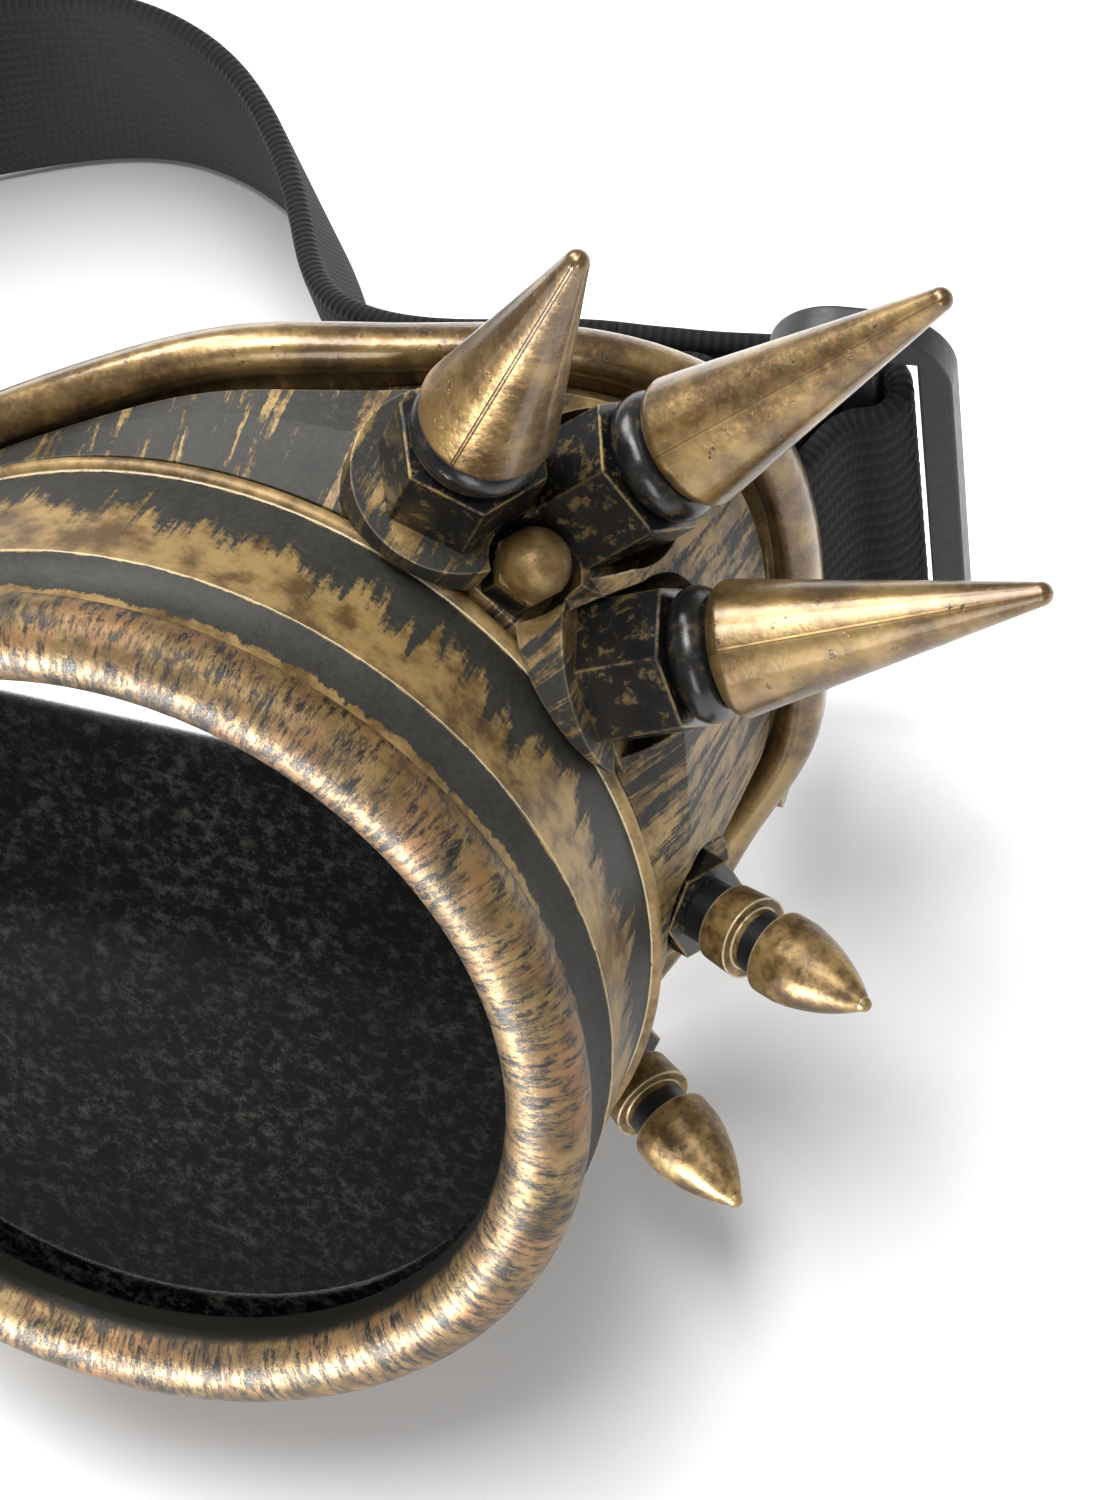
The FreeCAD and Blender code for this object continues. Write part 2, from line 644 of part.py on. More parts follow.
def make_cup(side):
    """Cup with its neck and thread, fastener seats and nose arms."""
    neck_length = SHOULDER_DEPTH + SHOULDER_WALL / 2 - NECK_FRONT
    neck = tube(NECK_RADIUS, NECK_BORE_RADIUS, NECK_FRONT, neck_length)
    ring_room = rod(BAND_FRONT_RADIUS + SHOULDER_GAP, 0, SHOULDER_DEPTH)
    body = ring_loft(body_section)
    bosses = []
    cuts = []
    for place, seat_radius, hole_radius in seats():
        foot = Vector(0, 0, -BOSS_DEPTH)
        boss = Part.makeCylinder(seat_radius + BOSS_MARGIN, BOSS_DEPTH, foot)
        sleeve = Part.makeCylinder(seat_radius + BOSS_MARGIN, SPOT_FACE_DEPTH)
        bosses.append(on_seat(boss, place).cut(ring_room))
        bosses.append(on_seat(sleeve, place).common(body))
        cuts.append(on_seat(Part.makeCylinder(seat_radius + SPOT_FACE_MARGIN, SPOT_FACE_DEPTH), place))
        cuts.append(on_seat(Part.makeCylinder(hole_radius, BOSS_DEPTH + SPOT_FACE_DEPTH, foot), place))
    cup = ring_loft(cup_section)
    for piece in [neck] + nose_arms(side) + bosses:
        cup = cup.fuse(piece)
    for piece in cuts:
        cup = cup.cut(piece)
    ridge = thread_ridge(NECK_RADIUS, NECK_RADIUS + THREAD_HEIGHT, THREAD_START)
    return mirrored(cup, side).fuse(ridge)


def make_rim():
    """Rolled rim with its strap bracket, and with notches for the nose arms and the spikes' bosses."""
    rim = ring_loft(rim_section).fuse(make_bracket()).cut(nose_notch())
    notch_radius = SPIKE_NUT_CORNER_RADIUS + BOSS_MARGIN + RIM_NOTCH_CLEARANCE
    notch_length = BOSS_DEPTH + SPIKE_NUT_HEIGHT + SPIKE_COLLAR_HEIGHT
    notch = Part.makeCylinder(notch_radius, notch_length, Vector(0, 0, -BOSS_DEPTH))
    for place in SPIKES.values():
        rim = rim.cut(on_seat(notch, place))
    return rim


def to_side(shape, side):
    """Move an eye piece from the lens axis to its side of the pair."""
    return placed(shape, Placement(Vector(SIDES[side] * LENS_SPACING / 2, 0, 0), Rotation()))


def at_rest(shape):
    """Tip a worn piece back to the way it lies on a table."""
    return placed(shape, Placement(Vector(0, 0, 0), Rotation(Vector(1, 0, 0), -REST_PITCH)))


def table_height():
    """Height of the table under the tipped pair: the rims lie on it."""
    return at_rest(ring_loft(rim_section)).optimalBoundingBox().ZMin


def temple_point(side, out, back):
    """Point of the tipped pair, from its place beside the strap bracket's bar."""
    point = temple_place().multVec(Vector(out, back, 0)) + Vector(LENS_SPACING / 2, 0, 0)
    point = Rotation(Vector(1, 0, 0), -REST_PITCH).multVec(point)
    return Vector(SIDES[side] * point.x, point.y, point.z)


def arc_points(centre, radius, first, last):
    """Points along an arc, in degrees from the outward direction."""
    points = []
    for step in range(ARC_STEPS + 1):
        angle = math.radians(first + (last - first) * step / ARC_STEPS)
        points.append((centre[0] + radius * math.cos(angle), centre[1] + radius * math.sin(angle)))
    return points


def in_front(points):
    """The same points one strap layer nearer to the face."""
    return [(out, back - STRAP_LAYER) for out, back in points]


def strap_curve(table):
    """Middle line of the whole strap, and the point where the adjuster loop meets the head band."""
    heading = math.degrees(math.atan2(SLIDER_HEADING[1], SLIDER_HEADING[0]))
    bar_round = arc_points((0, 0), BAR_BEND, 180, LEFT_BAR_END)
    fold = arc_points(SLIDER_CENTRE, SLIDER_BEND, heading - 90, heading + 90)
    left_tail = in_front(LEFT_SEAM[:0:-1])
    left = left_tail + [LEFT_TAIL_TURN] + bar_round + fold + LEFT_SEAM
    right_bar = arc_points((0, 0), BAR_BEND, 0, -180)
    right_tail = in_front(RIGHT_SEAM[::-1])
    right = RIGHT_SEAM + RIGHT_OUTER_TURN + right_bar + [RIGHT_TAIL_TURN] + right_tail
    junction = temple_point("left", *LEFT_JUNCTION)
    bar = temple_point("left", 0, 0).x
    band = [Vector(share * bar, back, table + low + STRAP_WIDTH / 2) for share, back, low in BAND_ROUTE]
    points = [temple_point("left", *point) for point in left] + [junction] + band
    points += [temple_point("right", *point) for point in right]
    curve = Part.BSplineCurve()
    curve.interpolate(points)
    return curve, junction


def strap_frame(curve, parameter):
    """Middle, sideways and upward directions of the strap at a place on its middle line."""
    middle = curve.value(parameter)
    heading = curve.tangent(parameter)[0]
    share = min(1, max(0, (abs(middle.x) - LEAN_START) / (LEAN_END - LEAN_START)))
    lean = math.radians(BAND_LEAN + (TEMPLE_LEAN - BAND_LEAN) * smooth(share))
    up = Vector(0, math.sin(lean), math.cos(lean))
    across = heading.cross(up).normalize()
    return middle, across, up


def strap_section(curve, parameter):
    middle, across, up = strap_frame(curve, parameter)
    half_thickness = across * (STRAP_THICKNESS / 2)
    half_width = up * (STRAP_WIDTH / 2)
    corners = [
        middle - half_thickness - half_width,
        middle + half_thickness - half_width,
        middle + half_thickness + half_width,
        middle - half_thickness + half_width,
    ]
    return Part.makePolygon(corners + corners[:1])


def strap_stretch(curve, start, end):
    """Flat strap along a stretch of its middle line, with closer sections at the temples."""
    places = [start]
    while places[-1] < end:
        at_temple = abs(curve.value(places[-1]).x) > LEAN_END
        step = STRAP_FINE_STATION if at_temple else STRAP_COARSE_STATION
        places.append(curve.parameterAtDistance(step, places[-1]))
    places[-1] = end
    return Part.makeLoft([strap_section(curve, place) for place in places], True, True)


def stitch_bar(curve, parameter):
    """Sewn bar on the face side of the strap."""
    middle, across, up = strap_frame(curve, parameter)
    along = across.cross(up)
    height = STRAP_WIDTH - 2 * STITCH_MARGIN
    bar = Part.makeBox(
        STITCH_LENGTH, STITCH_THICKNESS, height,
        Vector(-STITCH_LENGTH / 2, STRAP_THICKNESS / 2 + STITCH_GAP, -height / 2))
    return placed(bar, Placement(middle, Rotation(along, across, up, "ZXY")))


def make_stitches(curve, side):
    """Two bars at the strap's sewn end on one side."""
    end = curve.FirstParameter if side == "left" else curve.LastParameter
    bars = []
    for number in (1, 2):
        from_end = SIDES[side] * STITCH_SPACING * number
        bars.append(stitch_bar(curve, curve.parameterAtDistance(from_end, end)))
    return Part.makeCompound(bars)


def make_slider():
    """Three-bar slider, whose middle bar the adjuster loop goes round."""
    width = 3 * SLIDER_BAR + 2 * SLIDER_SLOT
    room = STRAP_WIDTH + SLIDER_LOW_ROOM + SLIDER_TOP_ROOM
    height = room + 2 * SLIDER_RAIL
    low = -STRAP_WIDTH / 2 - SLIDER_LOW_ROOM
    slider = Part.makeBox(
        width, SLIDER_THICKNESS, height, Vector(-width / 2, -SLIDER_THICKNESS / 2, low - SLIDER_RAIL))
    corners = []
    for edge in slider.Edges:
        ends = edge.Vertexes
        if abs(ends[0].Y - ends[1].Y) > SLIDER_THICKNESS / 2:
            corners.append(edge)
    slider = slider.makeFillet(SLIDER_CORNER, corners)
    for side in (-1, 1):
        middle = side * (SLIDER_BAR + SLIDER_SLOT) / 2
        corner = Vector(middle - SLIDER_SLOT / 2, -SLIDER_THICKNESS / 2, low)
        slider = slider.cut(Part.makeBox(SLIDER_SLOT, SLIDER_THICKNESS, room, corner))
    turn = Rotation(Vector(1, 0, 0), Vector(SLIDER_HEADING[0], SLIDER_HEADING[1], 0))
    in_temple = placed(slider, Placement(Vector(SLIDER_CENTRE[0], SLIDER_CENTRE[1], 0), turn))
    return to_side(placed(in_temple, temple_place()), "left")


def eye_piece(side):
    """Every piece of one eye piece, about its lens axis."""
    pieces = {
        "eye_cup": make_cup(side),
        "face_rim": mirrored(make_rim(), side),
        "lens_ring": make_lens_ring(),
        "lens": make_lens(),
        "lens_seal": make_seal(),
        "dome_bolt": mirrored(on_seat(dome_bolt(), DOME_BOLT), side),
    }
    for name, place in SPIKES.items():
        pieces[name] = mirrored(on_seat(spike(), place), side)
    for name, place in STUDS.items():
        pieces[name] = mirrored(on_seat(stud(), place), side)
    groups = {
        "spike_nuts": (spike_nut(), SPIKES),
        "spike_collars": (spike_collar(), SPIKES),
        "stud_nuts": (stud_nut(), STUDS),
    }
    for name, (shape, places) in groups.items():
        copies = [mirrored(on_seat(shape, place), side) for place in places.values()]
        pieces[name] = Part.makeCompound(copies)
    return pieces


def make_pair():
    """Every piece of the pair as it lies on the table."""
    table = table_height()
    pair = {}
    for side in SIDES:
        for name, shape in eye_piece(side).items():
            pair[f"{side}_{name}"] = at_rest(to_side(shape, side))
    pair["nose_hinge_pin"] = at_rest(make_hinge_pin())
    pair["strap_slider"] = at_rest(make_slider())
    curve, junction = strap_curve(table)
    split = curve.parameter(junction)
    pair["adjuster_strap"] = strap_stretch(curve, curve.FirstParameter, split)
    pair["head_strap"] = strap_stretch(curve, split, curve.LastParameter)
    for side in SIDES:
        pair[f"{side}_strap_stitches"] = make_stitches(curve, side)
    return pair


def stand_on_origin(pair):
    """Move the pair so that the origin is at the bottom centre of its box."""
    box = Part.makeCompound(list(pair.values())).optimalBoundingBox()
    shift = Vector(-(box.XMin + box.XMax) / 2, -(box.YMin + box.YMax) / 2, -box.ZMin)
    print("shift", tuple(round(value, 4) for value in shift))
    print("size", round(box.XLength, 2), round(box.YLength, 2), round(box.ZLength, 2))
    return {name: placed(shape, Placement(shift, Rotation())) for name, shape in pair.items()}


os.makedirs("parts", exist_ok=True)
for node, solid in stand_on_origin(make_pair()).items():
    solid.exportStep(f"parts/{node}.step")
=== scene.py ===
"""Steampunk goggles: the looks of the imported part, lying on a white table as in the photograph."""

import json
import math

import bpy
import numpy as np
from mathutils import Matrix, Vector


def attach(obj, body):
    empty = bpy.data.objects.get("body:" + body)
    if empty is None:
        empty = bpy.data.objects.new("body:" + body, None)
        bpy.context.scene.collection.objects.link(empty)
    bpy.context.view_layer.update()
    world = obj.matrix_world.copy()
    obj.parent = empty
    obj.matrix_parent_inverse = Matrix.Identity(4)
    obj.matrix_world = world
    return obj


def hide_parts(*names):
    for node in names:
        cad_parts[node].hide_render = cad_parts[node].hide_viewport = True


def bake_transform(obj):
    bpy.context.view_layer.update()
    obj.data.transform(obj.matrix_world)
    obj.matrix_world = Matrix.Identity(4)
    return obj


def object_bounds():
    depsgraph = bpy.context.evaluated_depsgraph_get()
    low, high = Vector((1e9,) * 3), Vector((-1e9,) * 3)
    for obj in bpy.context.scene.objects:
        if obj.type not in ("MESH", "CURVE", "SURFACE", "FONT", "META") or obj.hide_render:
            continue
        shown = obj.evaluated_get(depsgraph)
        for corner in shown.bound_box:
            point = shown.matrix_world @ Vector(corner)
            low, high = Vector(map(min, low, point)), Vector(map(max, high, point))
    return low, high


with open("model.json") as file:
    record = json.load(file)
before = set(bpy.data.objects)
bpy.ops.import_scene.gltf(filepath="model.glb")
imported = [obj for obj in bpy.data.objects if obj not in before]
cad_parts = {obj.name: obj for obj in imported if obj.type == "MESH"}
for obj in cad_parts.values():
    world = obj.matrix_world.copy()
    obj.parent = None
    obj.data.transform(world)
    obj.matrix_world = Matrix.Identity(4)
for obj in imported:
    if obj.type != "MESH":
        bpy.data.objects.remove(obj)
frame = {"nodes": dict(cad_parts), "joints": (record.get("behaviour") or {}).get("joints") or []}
CAD_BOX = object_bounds()
NODES = frame["nodes"]
JOINTS = {joint["name"]: joint for joint in frame["joints"]}

MM = 0.001
SIDES = {"left": 1, "right": -1}

# Lens axes, from the joints that the lens rings turn on
OPENING = {side: Vector(JOINTS[side + "_ring_turn"]["pos_m"]) for side in SIDES}
FRONT = Vector(JOINTS["left_ring_turn"]["axis"])
PITCH = math.atan2(FRONT.z, -FRONT.y)
WORN_TO_REST = Matrix.Rotation(-PITCH, 3, "X")

# Camera, placed from the left lens opening in the frame of the worn goggles
CAMERA_OFFSET = Vector((89.63, -193.31, 180.89)) * MM
CAMERA_RIGHT = Vector((0.9498, 0.3130, 0.0))
CAMERA_BACK = Vector((0.2486, -0.7543, 0.6077))
CAMERA_LENS = 118.4
SENSOR = 36.0
IMAGE_WIDTH = 1098
IMAGE_HEIGHT = 1500

# Glint along the lens's upper edge: ends of its lower edge in the picture, and the panel that makes it
GLINT_START = (-80, 672)
GLINT_END = (275, 750)
GLINT_DISTANCE = 0.2
GLINT_HEIGHT = 0.05
GLINT_POWER = 2.0

# Front of the lens behind the plane of its opening
LENS_DEPTH = 1.3 * MM

# Painted plastic, in millimetres: depths behind the opening's plane, radii from the lens axis, and the
# side of the cup that gets more paint
PAINT_FRONT = -3.0
PAINT_BACK = 40.0
LIP_END = 2.6
LIP_BLEND = 0.9
MOUTH_RADIUS = 23.5
BRUSH_RADIUS = 28.0
BRUSH_STRETCH = 0.10
TEMPLE_SIDE = Vector((0.94, 0.0, 0.34))

# Widths of worn edges and of the softening at sharp edges
WORN_LINE = 0.22 * MM
WORN_EDGE = 0.25 * MM
SOFT_EDGE = 0.2 * MM
HARDWARE_WORN_EDGE = 0.28 * MM
MOULDED_SOFT_EDGE = 0.3 * MM

# Marks on turned pieces, in millimetres behind the tip: the studs' black grooves and the dome's lower edge
STUD_GROOVE_START = (7.25, 7.5)
STUD_GROOVE_END = (8.5, 8.7)
STUD_NECK = (11.15, 11.35)
DOME_EDGE = (3.2, 3.9)
DOME_SMEAR = 1.6
TIP_SLICE = 0.3 * MM
AXIS_ROUNDS = 3

# Elastic strap and the bar of the bracket that it loops round, placed from the worn left lens opening
STRAP_WIDTH = 23.5 * MM
STRAP_THICKNESS = 1.5 * MM
STRAP_LAYER = 1.8 * MM
STRAP_STATION = 0.5 * MM
TEMPLE_LEAN = math.radians(8.0)
BAND_LEAN = math.radians(-6.0)
LEAN_START = 22.0 * MM
LEAN_END = 52.0 * MM
BAR_CENTRE = OPENING["left"] + WORN_TO_REST @ Vector((26.487, 43.2, 8.8)) * MM
BAR_BEND = 2.55
BAR_END = 345.0
FOLD_CENTRE = (4.3, 5.2)
FOLD_BEND = 2.314
FOLD_HEADING = 5.74
ARC_STEPS = 6
LINE_SAMPLES = 6000
RIBS = 18
RIB_STEPS = 4
RIB_DEPTH = 0.09 * MM
EDGE_CORD = 0.9 * MM
CORD_STEPS = 10
STITCH_SPACING = 1.5 * MM
STITCH_MARGIN = 2.5 * MM
STITCH_PITCH = 0.62 * MM
STITCH_SWING = 0.34 * MM
STITCH_RISE = 0.2 * MM
THREAD_RADIUS = 0.17 * MM
PICKS_PER_MM = 1.9
BRAIDS_PER_MM = 1.7

# Route of the strap beside a bracket's bar, outwards and backwards in millimetres
LEFT_SEAM = [(-1.5, 7.2), (-5.5, 6.6), (-7.5, 6.4), (-9.5, 6.2)]
LEFT_TAIL_TURN = (-3.6, 3.0)
LEFT_JUNCTION = (-11.0, 6.1)
RIGHT_SEAM = [(-9.5, 9.3), (-7.0, 8.1), (-4.5, 7.0)]
RIGHT_OUTER_TURN = [(0.5, 4.7), (2.4, 2.2)]
RIGHT_TAIL_TURN = (-3.2, 2.6)
SEWN_POINTS = 4

# Route of the head band: sideways as a share of the way to the bar, and in millimetres backwards from
# the lens openings and the height of its lower edge
BAND_ROUTE = [
    (0.665, 46.6, 13.6),
    (0.535, 49.8, 11.0),
    (0.46, 56.8, 7.4),
    (0.36, 66.8, 3.4),
    (0.25, 73.0, 1.0),
    (0.13, 75.2, 0.3),
    (-0.04, 72.6, 0.3),
    (-0.26, 65.8, 1.4),
    (-0.48, 59.6, 4.4),
    (-0.66, 56.2, 7.6),
]

# Lights: place, target, width and height in metres, and power in watts
LIGHTS = {
    "key": ((-0.45, 0.45, 0.75), (0.02, 0.0, 0.02), 0.5, 0.5, 9.0),
    "top": ((0.0, 0.05, 0.8), (0.03, 0.0, 0.02), 0.3, 0.5, 7.0),
    "front": ((0.35, -0.75, 0.35), (0.04, -0.02, 0.03), 0.25, 0.5, 2.5),
}
SKY_COLOUR = (0.94, 0.96, 1.0, 1.0)
SKY_STRENGTH = 0.35
FLOOR_HALF = 3.0
FLOOR_GAP = 0.05 * MM


def colour(red, green, blue):
    """Linear colour of screen values from 0 to 255."""
    linear = []
    for value in (red, green, blue):
        share = value / 255
        linear.append(share / 12.92 if share <= 0.04045 else ((share + 0.055) / 1.055) ** 2.4)
    return (*linear, 1.0)


CHARCOAL = colour(54, 53, 48)
SOOT = colour(28, 27, 24)
BRONZE = colour(148, 122, 76)
DARK_BRONZE = colour(84, 63, 34)
COPPER = colour(158, 112, 74)
PALE_GOLD = colour(232, 216, 182)
BLACK_GLOSS = colour(14, 15, 19)
LENS_BLACK = colour(3, 3, 3)
# Grey of the specks in the lens: painted reflection of a granular dark ground
LENS_REFLECTED_GRIT = colour(60, 60, 55)
STRAP_BLACK = colour(10, 10, 11)
STRAP_LIT = colour(32, 31, 31)
SLIDER_GREY = colour(27, 27, 28)
STEEL = colour(150, 150, 152)
RUBBER_BLACK = colour(22, 22, 23)
FLOOR_GREY = colour(240, 240, 241)
FLOOR_WHITE = colour(246, 246, 246)


class Paint:
    """A node material, with short ways to add nodes to it."""

    def __init__(self, name, roughness=0.4, metallic=0.0):
        self.material = bpy.data.materials.new(name)
        self.material.use_nodes = True
        self.tree = self.material.node_tree
        self.shader = self.tree.nodes["Principled BSDF"]
        self.set("Roughness", roughness)
        self.set("Metallic", metallic)

    def set(self, socket, value):
        self.feed(self.shader.inputs[socket], value)

    def feed(self, socket, value):
        if isinstance(value, bpy.types.NodeSocket):
            self.tree.links.new(value, socket)
        else:
            socket.default_value = value

    def node(self, kind, inputs, **settings):
        node = self.tree.nodes.new(kind)
        for key, value in settings.items():
            setattr(node, key, value)
        for key, value in inputs.items():
            self.feed(node.inputs[key], value)
        return node

    def math(self, operation, first, second=0.0):
        return self.node("ShaderNodeMath", {0: first, 1: second}, operation=operation).outputs[0]

    def vector(self, operation, first, second=(0.0, 0.0, 0.0), output="Vector"):
        node = self.node("ShaderNodeVectorMath", {0: first, 1: second}, operation=operation)
        return node.outputs[output]

    def dot(self, first, second):
        return self.vector("DOT_PRODUCT", first, second, output="Value")

    def split(self, vector):
        return self.node("ShaderNodeSeparateXYZ", {0: vector}).outputs

    def join(self, x, y, z):
        return self.node("ShaderNodeCombineXYZ", {0: x, 1: y, 2: z}).outputs[0]

    def step(self, value, low, high):
        """Smooth step from 0 at low to 1 at high."""
        inputs = {"Value": value, "From Min": low, "From Max": high}
        node = self.node("ShaderNodeMapRange", inputs, interpolation_type="SMOOTHSTEP")
        return node.outputs["Result"]

    def stretch(self, value, low, high):
        """Straight map from low and high to 0 and 1."""
        inputs = {"Value": value, "From Min": low, "From Max": high}
        return self.node("ShaderNodeMapRange", inputs).outputs["Result"]

    def noise(self, vector, scale, detail=3.0, roughness=0.55, distortion=0.0):
        """Noise stretched to fill most of the range from 0 to 1."""
        inputs = {
            "Vector": vector,
            "Scale": scale,
            "Detail": detail,
            "Roughness": roughness,
            "Distortion": distortion,
        }
        return self.stretch(self.node("ShaderNodeTexNoise", inputs).outputs[0], 0.27, 0.73)

    def mix(self, share, first, second):
        inputs = {0: share, 6: first, 7: second}
        return self.node("ShaderNodeMix", inputs, data_type="RGBA").outputs[2]

    def blend(self, share, first, second):
        return self.node("ShaderNodeMix", {0: share, 2: first, 3: second}, data_type="FLOAT").outputs[0]

    def curve(self, value, low, high, stops):
        """Value read off a line through (place, value) stops."""
        ramp = self.node("ShaderNodeValToRGB", {0: self.stretch(value, low, high)})
        elements = ramp.color_ramp.elements
        while len(elements) < len(stops):
            elements.new(0.5)
        for element, (at, share) in zip(elements, stops):
            element.position = (at - low) / (high - low)
            element.color = (share, share, share, 1.0)
        return self.node("ShaderNodeSeparateColor", {0: ramp.outputs[0]}).outputs[0]

    def bump(self, height, distance, strength=1.0, normal=None):
        inputs = {"Height": height, "Distance": distance, "Strength": strength}
        if normal is not None:
            inputs["Normal"] = normal
        return self.node("ShaderNodeBump", inputs).outputs[0]

    def rounded(self, radius):
        """Normal of the surface with its sharp edges rounded off."""
        return self.node("ShaderNodeBevel", {"Radius": radius}, samples=6).outputs[0]

    def normal(self):
        return self.node("ShaderNodeNewGeometry", {}).outputs["Normal"]

    def edges(self, radius):
        """How near the surface is to a sharp edge, from 0 to 1."""
        return self.step(self.dot(self.rounded(radius), self.normal()), 0.995, 0.90)

    def place(self):
        """Place on the object, in millimetres."""
        vector = self.node("ShaderNodeTexCoord", {}).outputs["Object"]
        return self.vector("MULTIPLY", vector, (1 / MM, 1 / MM, 1 / MM))

    def lens_frame(self, side):
        """Place in the frame of the worn goggles, from the middle of a lens opening, in millimetres."""
        scale = Vector((SIDES[side] / MM, 1 / MM, 1 / MM))
        turn = Matrix.Rotation(PITCH, 3, "X")
        shift = -(turn @ (scale * OPENING[side]))
        vector = self.node("ShaderNodeTexCoord", {}).outputs["Object"]
        inputs = {"Vector": vector, "Location": shift, "Rotation": (PITCH, 0, 0), "Scale": scale}
        return self.node("ShaderNodeMapping", inputs).outputs[0]

    def outward(self, side, around):
        """1 where the surface faces away from the lens axis, 0 inside the cup."""
        local = self.node(
            "ShaderNodeVectorTransform", {0: self.normal()},
            vector_type="NORMAL", convert_from="WORLD", convert_to="OBJECT").outputs[0]
        inputs = {"Vector": local, "Rotation": (PITCH, 0, 0), "Scale": (SIDES[side], 1, 1)}
        turned = self.node("ShaderNodeMapping", inputs, vector_type="POINT").outputs[0]
        return self.step(self.dot(turned, around), -0.45, -0.2)

    def behind_tip(self, tip, direction):
        """Distance behind the tip of a turned piece, in millimetres."""
        offset = self.vector("SUBTRACT", self.place(), tip / MM)
        return self.math("MULTIPLY", self.dot(offset, direction), -1.0)


def dry_brushed(name, side, coverage, temple, flame, edging):
    """Charcoal plastic with bronze paint dry-brushed along the lens axis.

    The coverage goes by depth and is raised by the temple share at the temple. The flame share gives
    broad tongues of paint, the edging share wears the edges, and the lip is streaked across.
    """
    paint = Paint(name)
    place = paint.lens_frame(side)
    x, depth, z = paint.split(place)
    from_axis = paint.join(x, 0.0, z)
    radius = paint.vector("LENGTH", from_axis, output="Value")
    around = paint.vector("NORMALIZE", from_axis)
    lip = paint.step(depth, LIP_END, LIP_END - LIP_BLEND)

    # Brush strokes along the lens axis, and streaks across the lip
    ring = paint.vector("MULTIPLY", around, (BRUSH_RADIUS, 0.0, BRUSH_RADIUS))
    short = paint.vector("ADD", ring, paint.join(0.0, paint.math("MULTIPLY", depth, BRUSH_STRETCH), 0.0))
    streaks = paint.noise(short, 0.95, detail=6.0, roughness=0.68, distortion=0.2)
    flames = paint.noise(short, 0.24, detail=3.0, roughness=0.55)
    grains = paint.noise(place, 2.6, detail=3.0, roughness=0.6)
    mottle = paint.noise(place, 0.8, detail=6.0, roughness=0.72, distortion=0.3)
    hatch = paint.vector("ADD", ring, paint.vector("MULTIPLY", place, (0.3, 0.3, 0.3)))
    mottle = paint.blend(0.62, mottle, paint.noise(hatch, 1.9, detail=5.0, roughness=0.75))
    pattern = paint.blend(flame, streaks, flames)
    pattern = paint.blend(0.12, pattern, grains)
    pattern = paint.blend(lip, pattern, mottle)

    # Where the paint covers the plastic
    covered = paint.curve(depth, PAINT_FRONT, PAINT_BACK, coverage)
    at_temple = paint.step(paint.dot(around, TEMPLE_SIDE), 0.35, 0.9)
    covered = paint.math("ADD", covered, paint.math("MULTIPLY", at_temple, temple))
    bare = paint.math("SUBTRACT", 1.0, covered)
    fade = paint.blend(lip, 0.07, 0.18)
    brushed = paint.step(pattern, paint.math("SUBTRACT", bare, fade), paint.math("ADD", bare, fade))
    line = paint.math("MULTIPLY", paint.edges(WORN_LINE), paint.step(grains, 0.0, 0.35))
    line = paint.math("MULTIPLY", line, edging)
    gold = paint.math("MAXIMUM", brushed, line)
    gold = paint.math("MULTIPLY", gold, paint.math("MAXIMUM", paint.outward(side, around), lip))
    gold = paint.math("MULTIPLY", gold, paint.step(radius, MOUTH_RADIUS + 0.05, MOUTH_RADIUS + 0.3))

    # Colours of the paint and of the bare plastic, with copper on the lip that is partly painted highlight
    tone = paint.noise(place, 0.35, detail=5.0, roughness=0.66)
    bronze = paint.mix(paint.step(tone, 0.2, 0.8), DARK_BRONZE, BRONZE)
    # Copper patches on the lip: partly a copper tint of the paint, partly painted copper highlights
    copper_tint_and_highlight = paint.math("MULTIPLY", lip, paint.step(paint.noise(place, 0.3, detail=4.0), 0.35, 0.8))
    bronze = paint.mix(paint.math("MULTIPLY", copper_tint_and_highlight, 0.6), bronze, COPPER)
    streaked = paint.math("MULTIPLY", paint.step(mottle, 0.62, 0.30), 0.85)
    shaded = paint.math("MULTIPLY", lip, paint.math("MAXIMUM", streaked, 0.35))
    bronze = paint.mix(shaded, bronze, DARK_BRONZE)
    bronze = paint.mix(line, bronze, PALE_GOLD)
    plastic = paint.mix(paint.blend(0.5, tone, grains), SOOT, CHARCOAL)
    plastic = paint.mix(lip, plastic, SOOT)
    paint.set("Base Color", paint.mix(gold, plastic, bronze))

    # Finish
    paint.set("Specular IOR Level", paint.blend(gold, 0.28, 0.5))
    sheen = paint.math("MULTIPLY", gold, paint.math("SUBTRACT", 1.0, line))
    paint.set("Metallic", paint.math("MULTIPLY", sheen, paint.blend(lip, 0.30, 0.45)))
    rough = paint.blend(lip, paint.blend(tone, 0.40, 0.52), paint.blend(mottle, 0.58, 0.42))
    paint.set("Roughness", paint.blend(gold, paint.blend(lip, 0.55, 0.4), rough))
    height = paint.math("ADD", paint.math("MULTIPLY", gold, 0.6), paint.math("MULTIPLY", grains, 0.3))
    paint.set("Normal", paint.bump(height, 0.05 * MM, 0.7, paint.rounded(SOFT_EDGE)))
    return paint.material


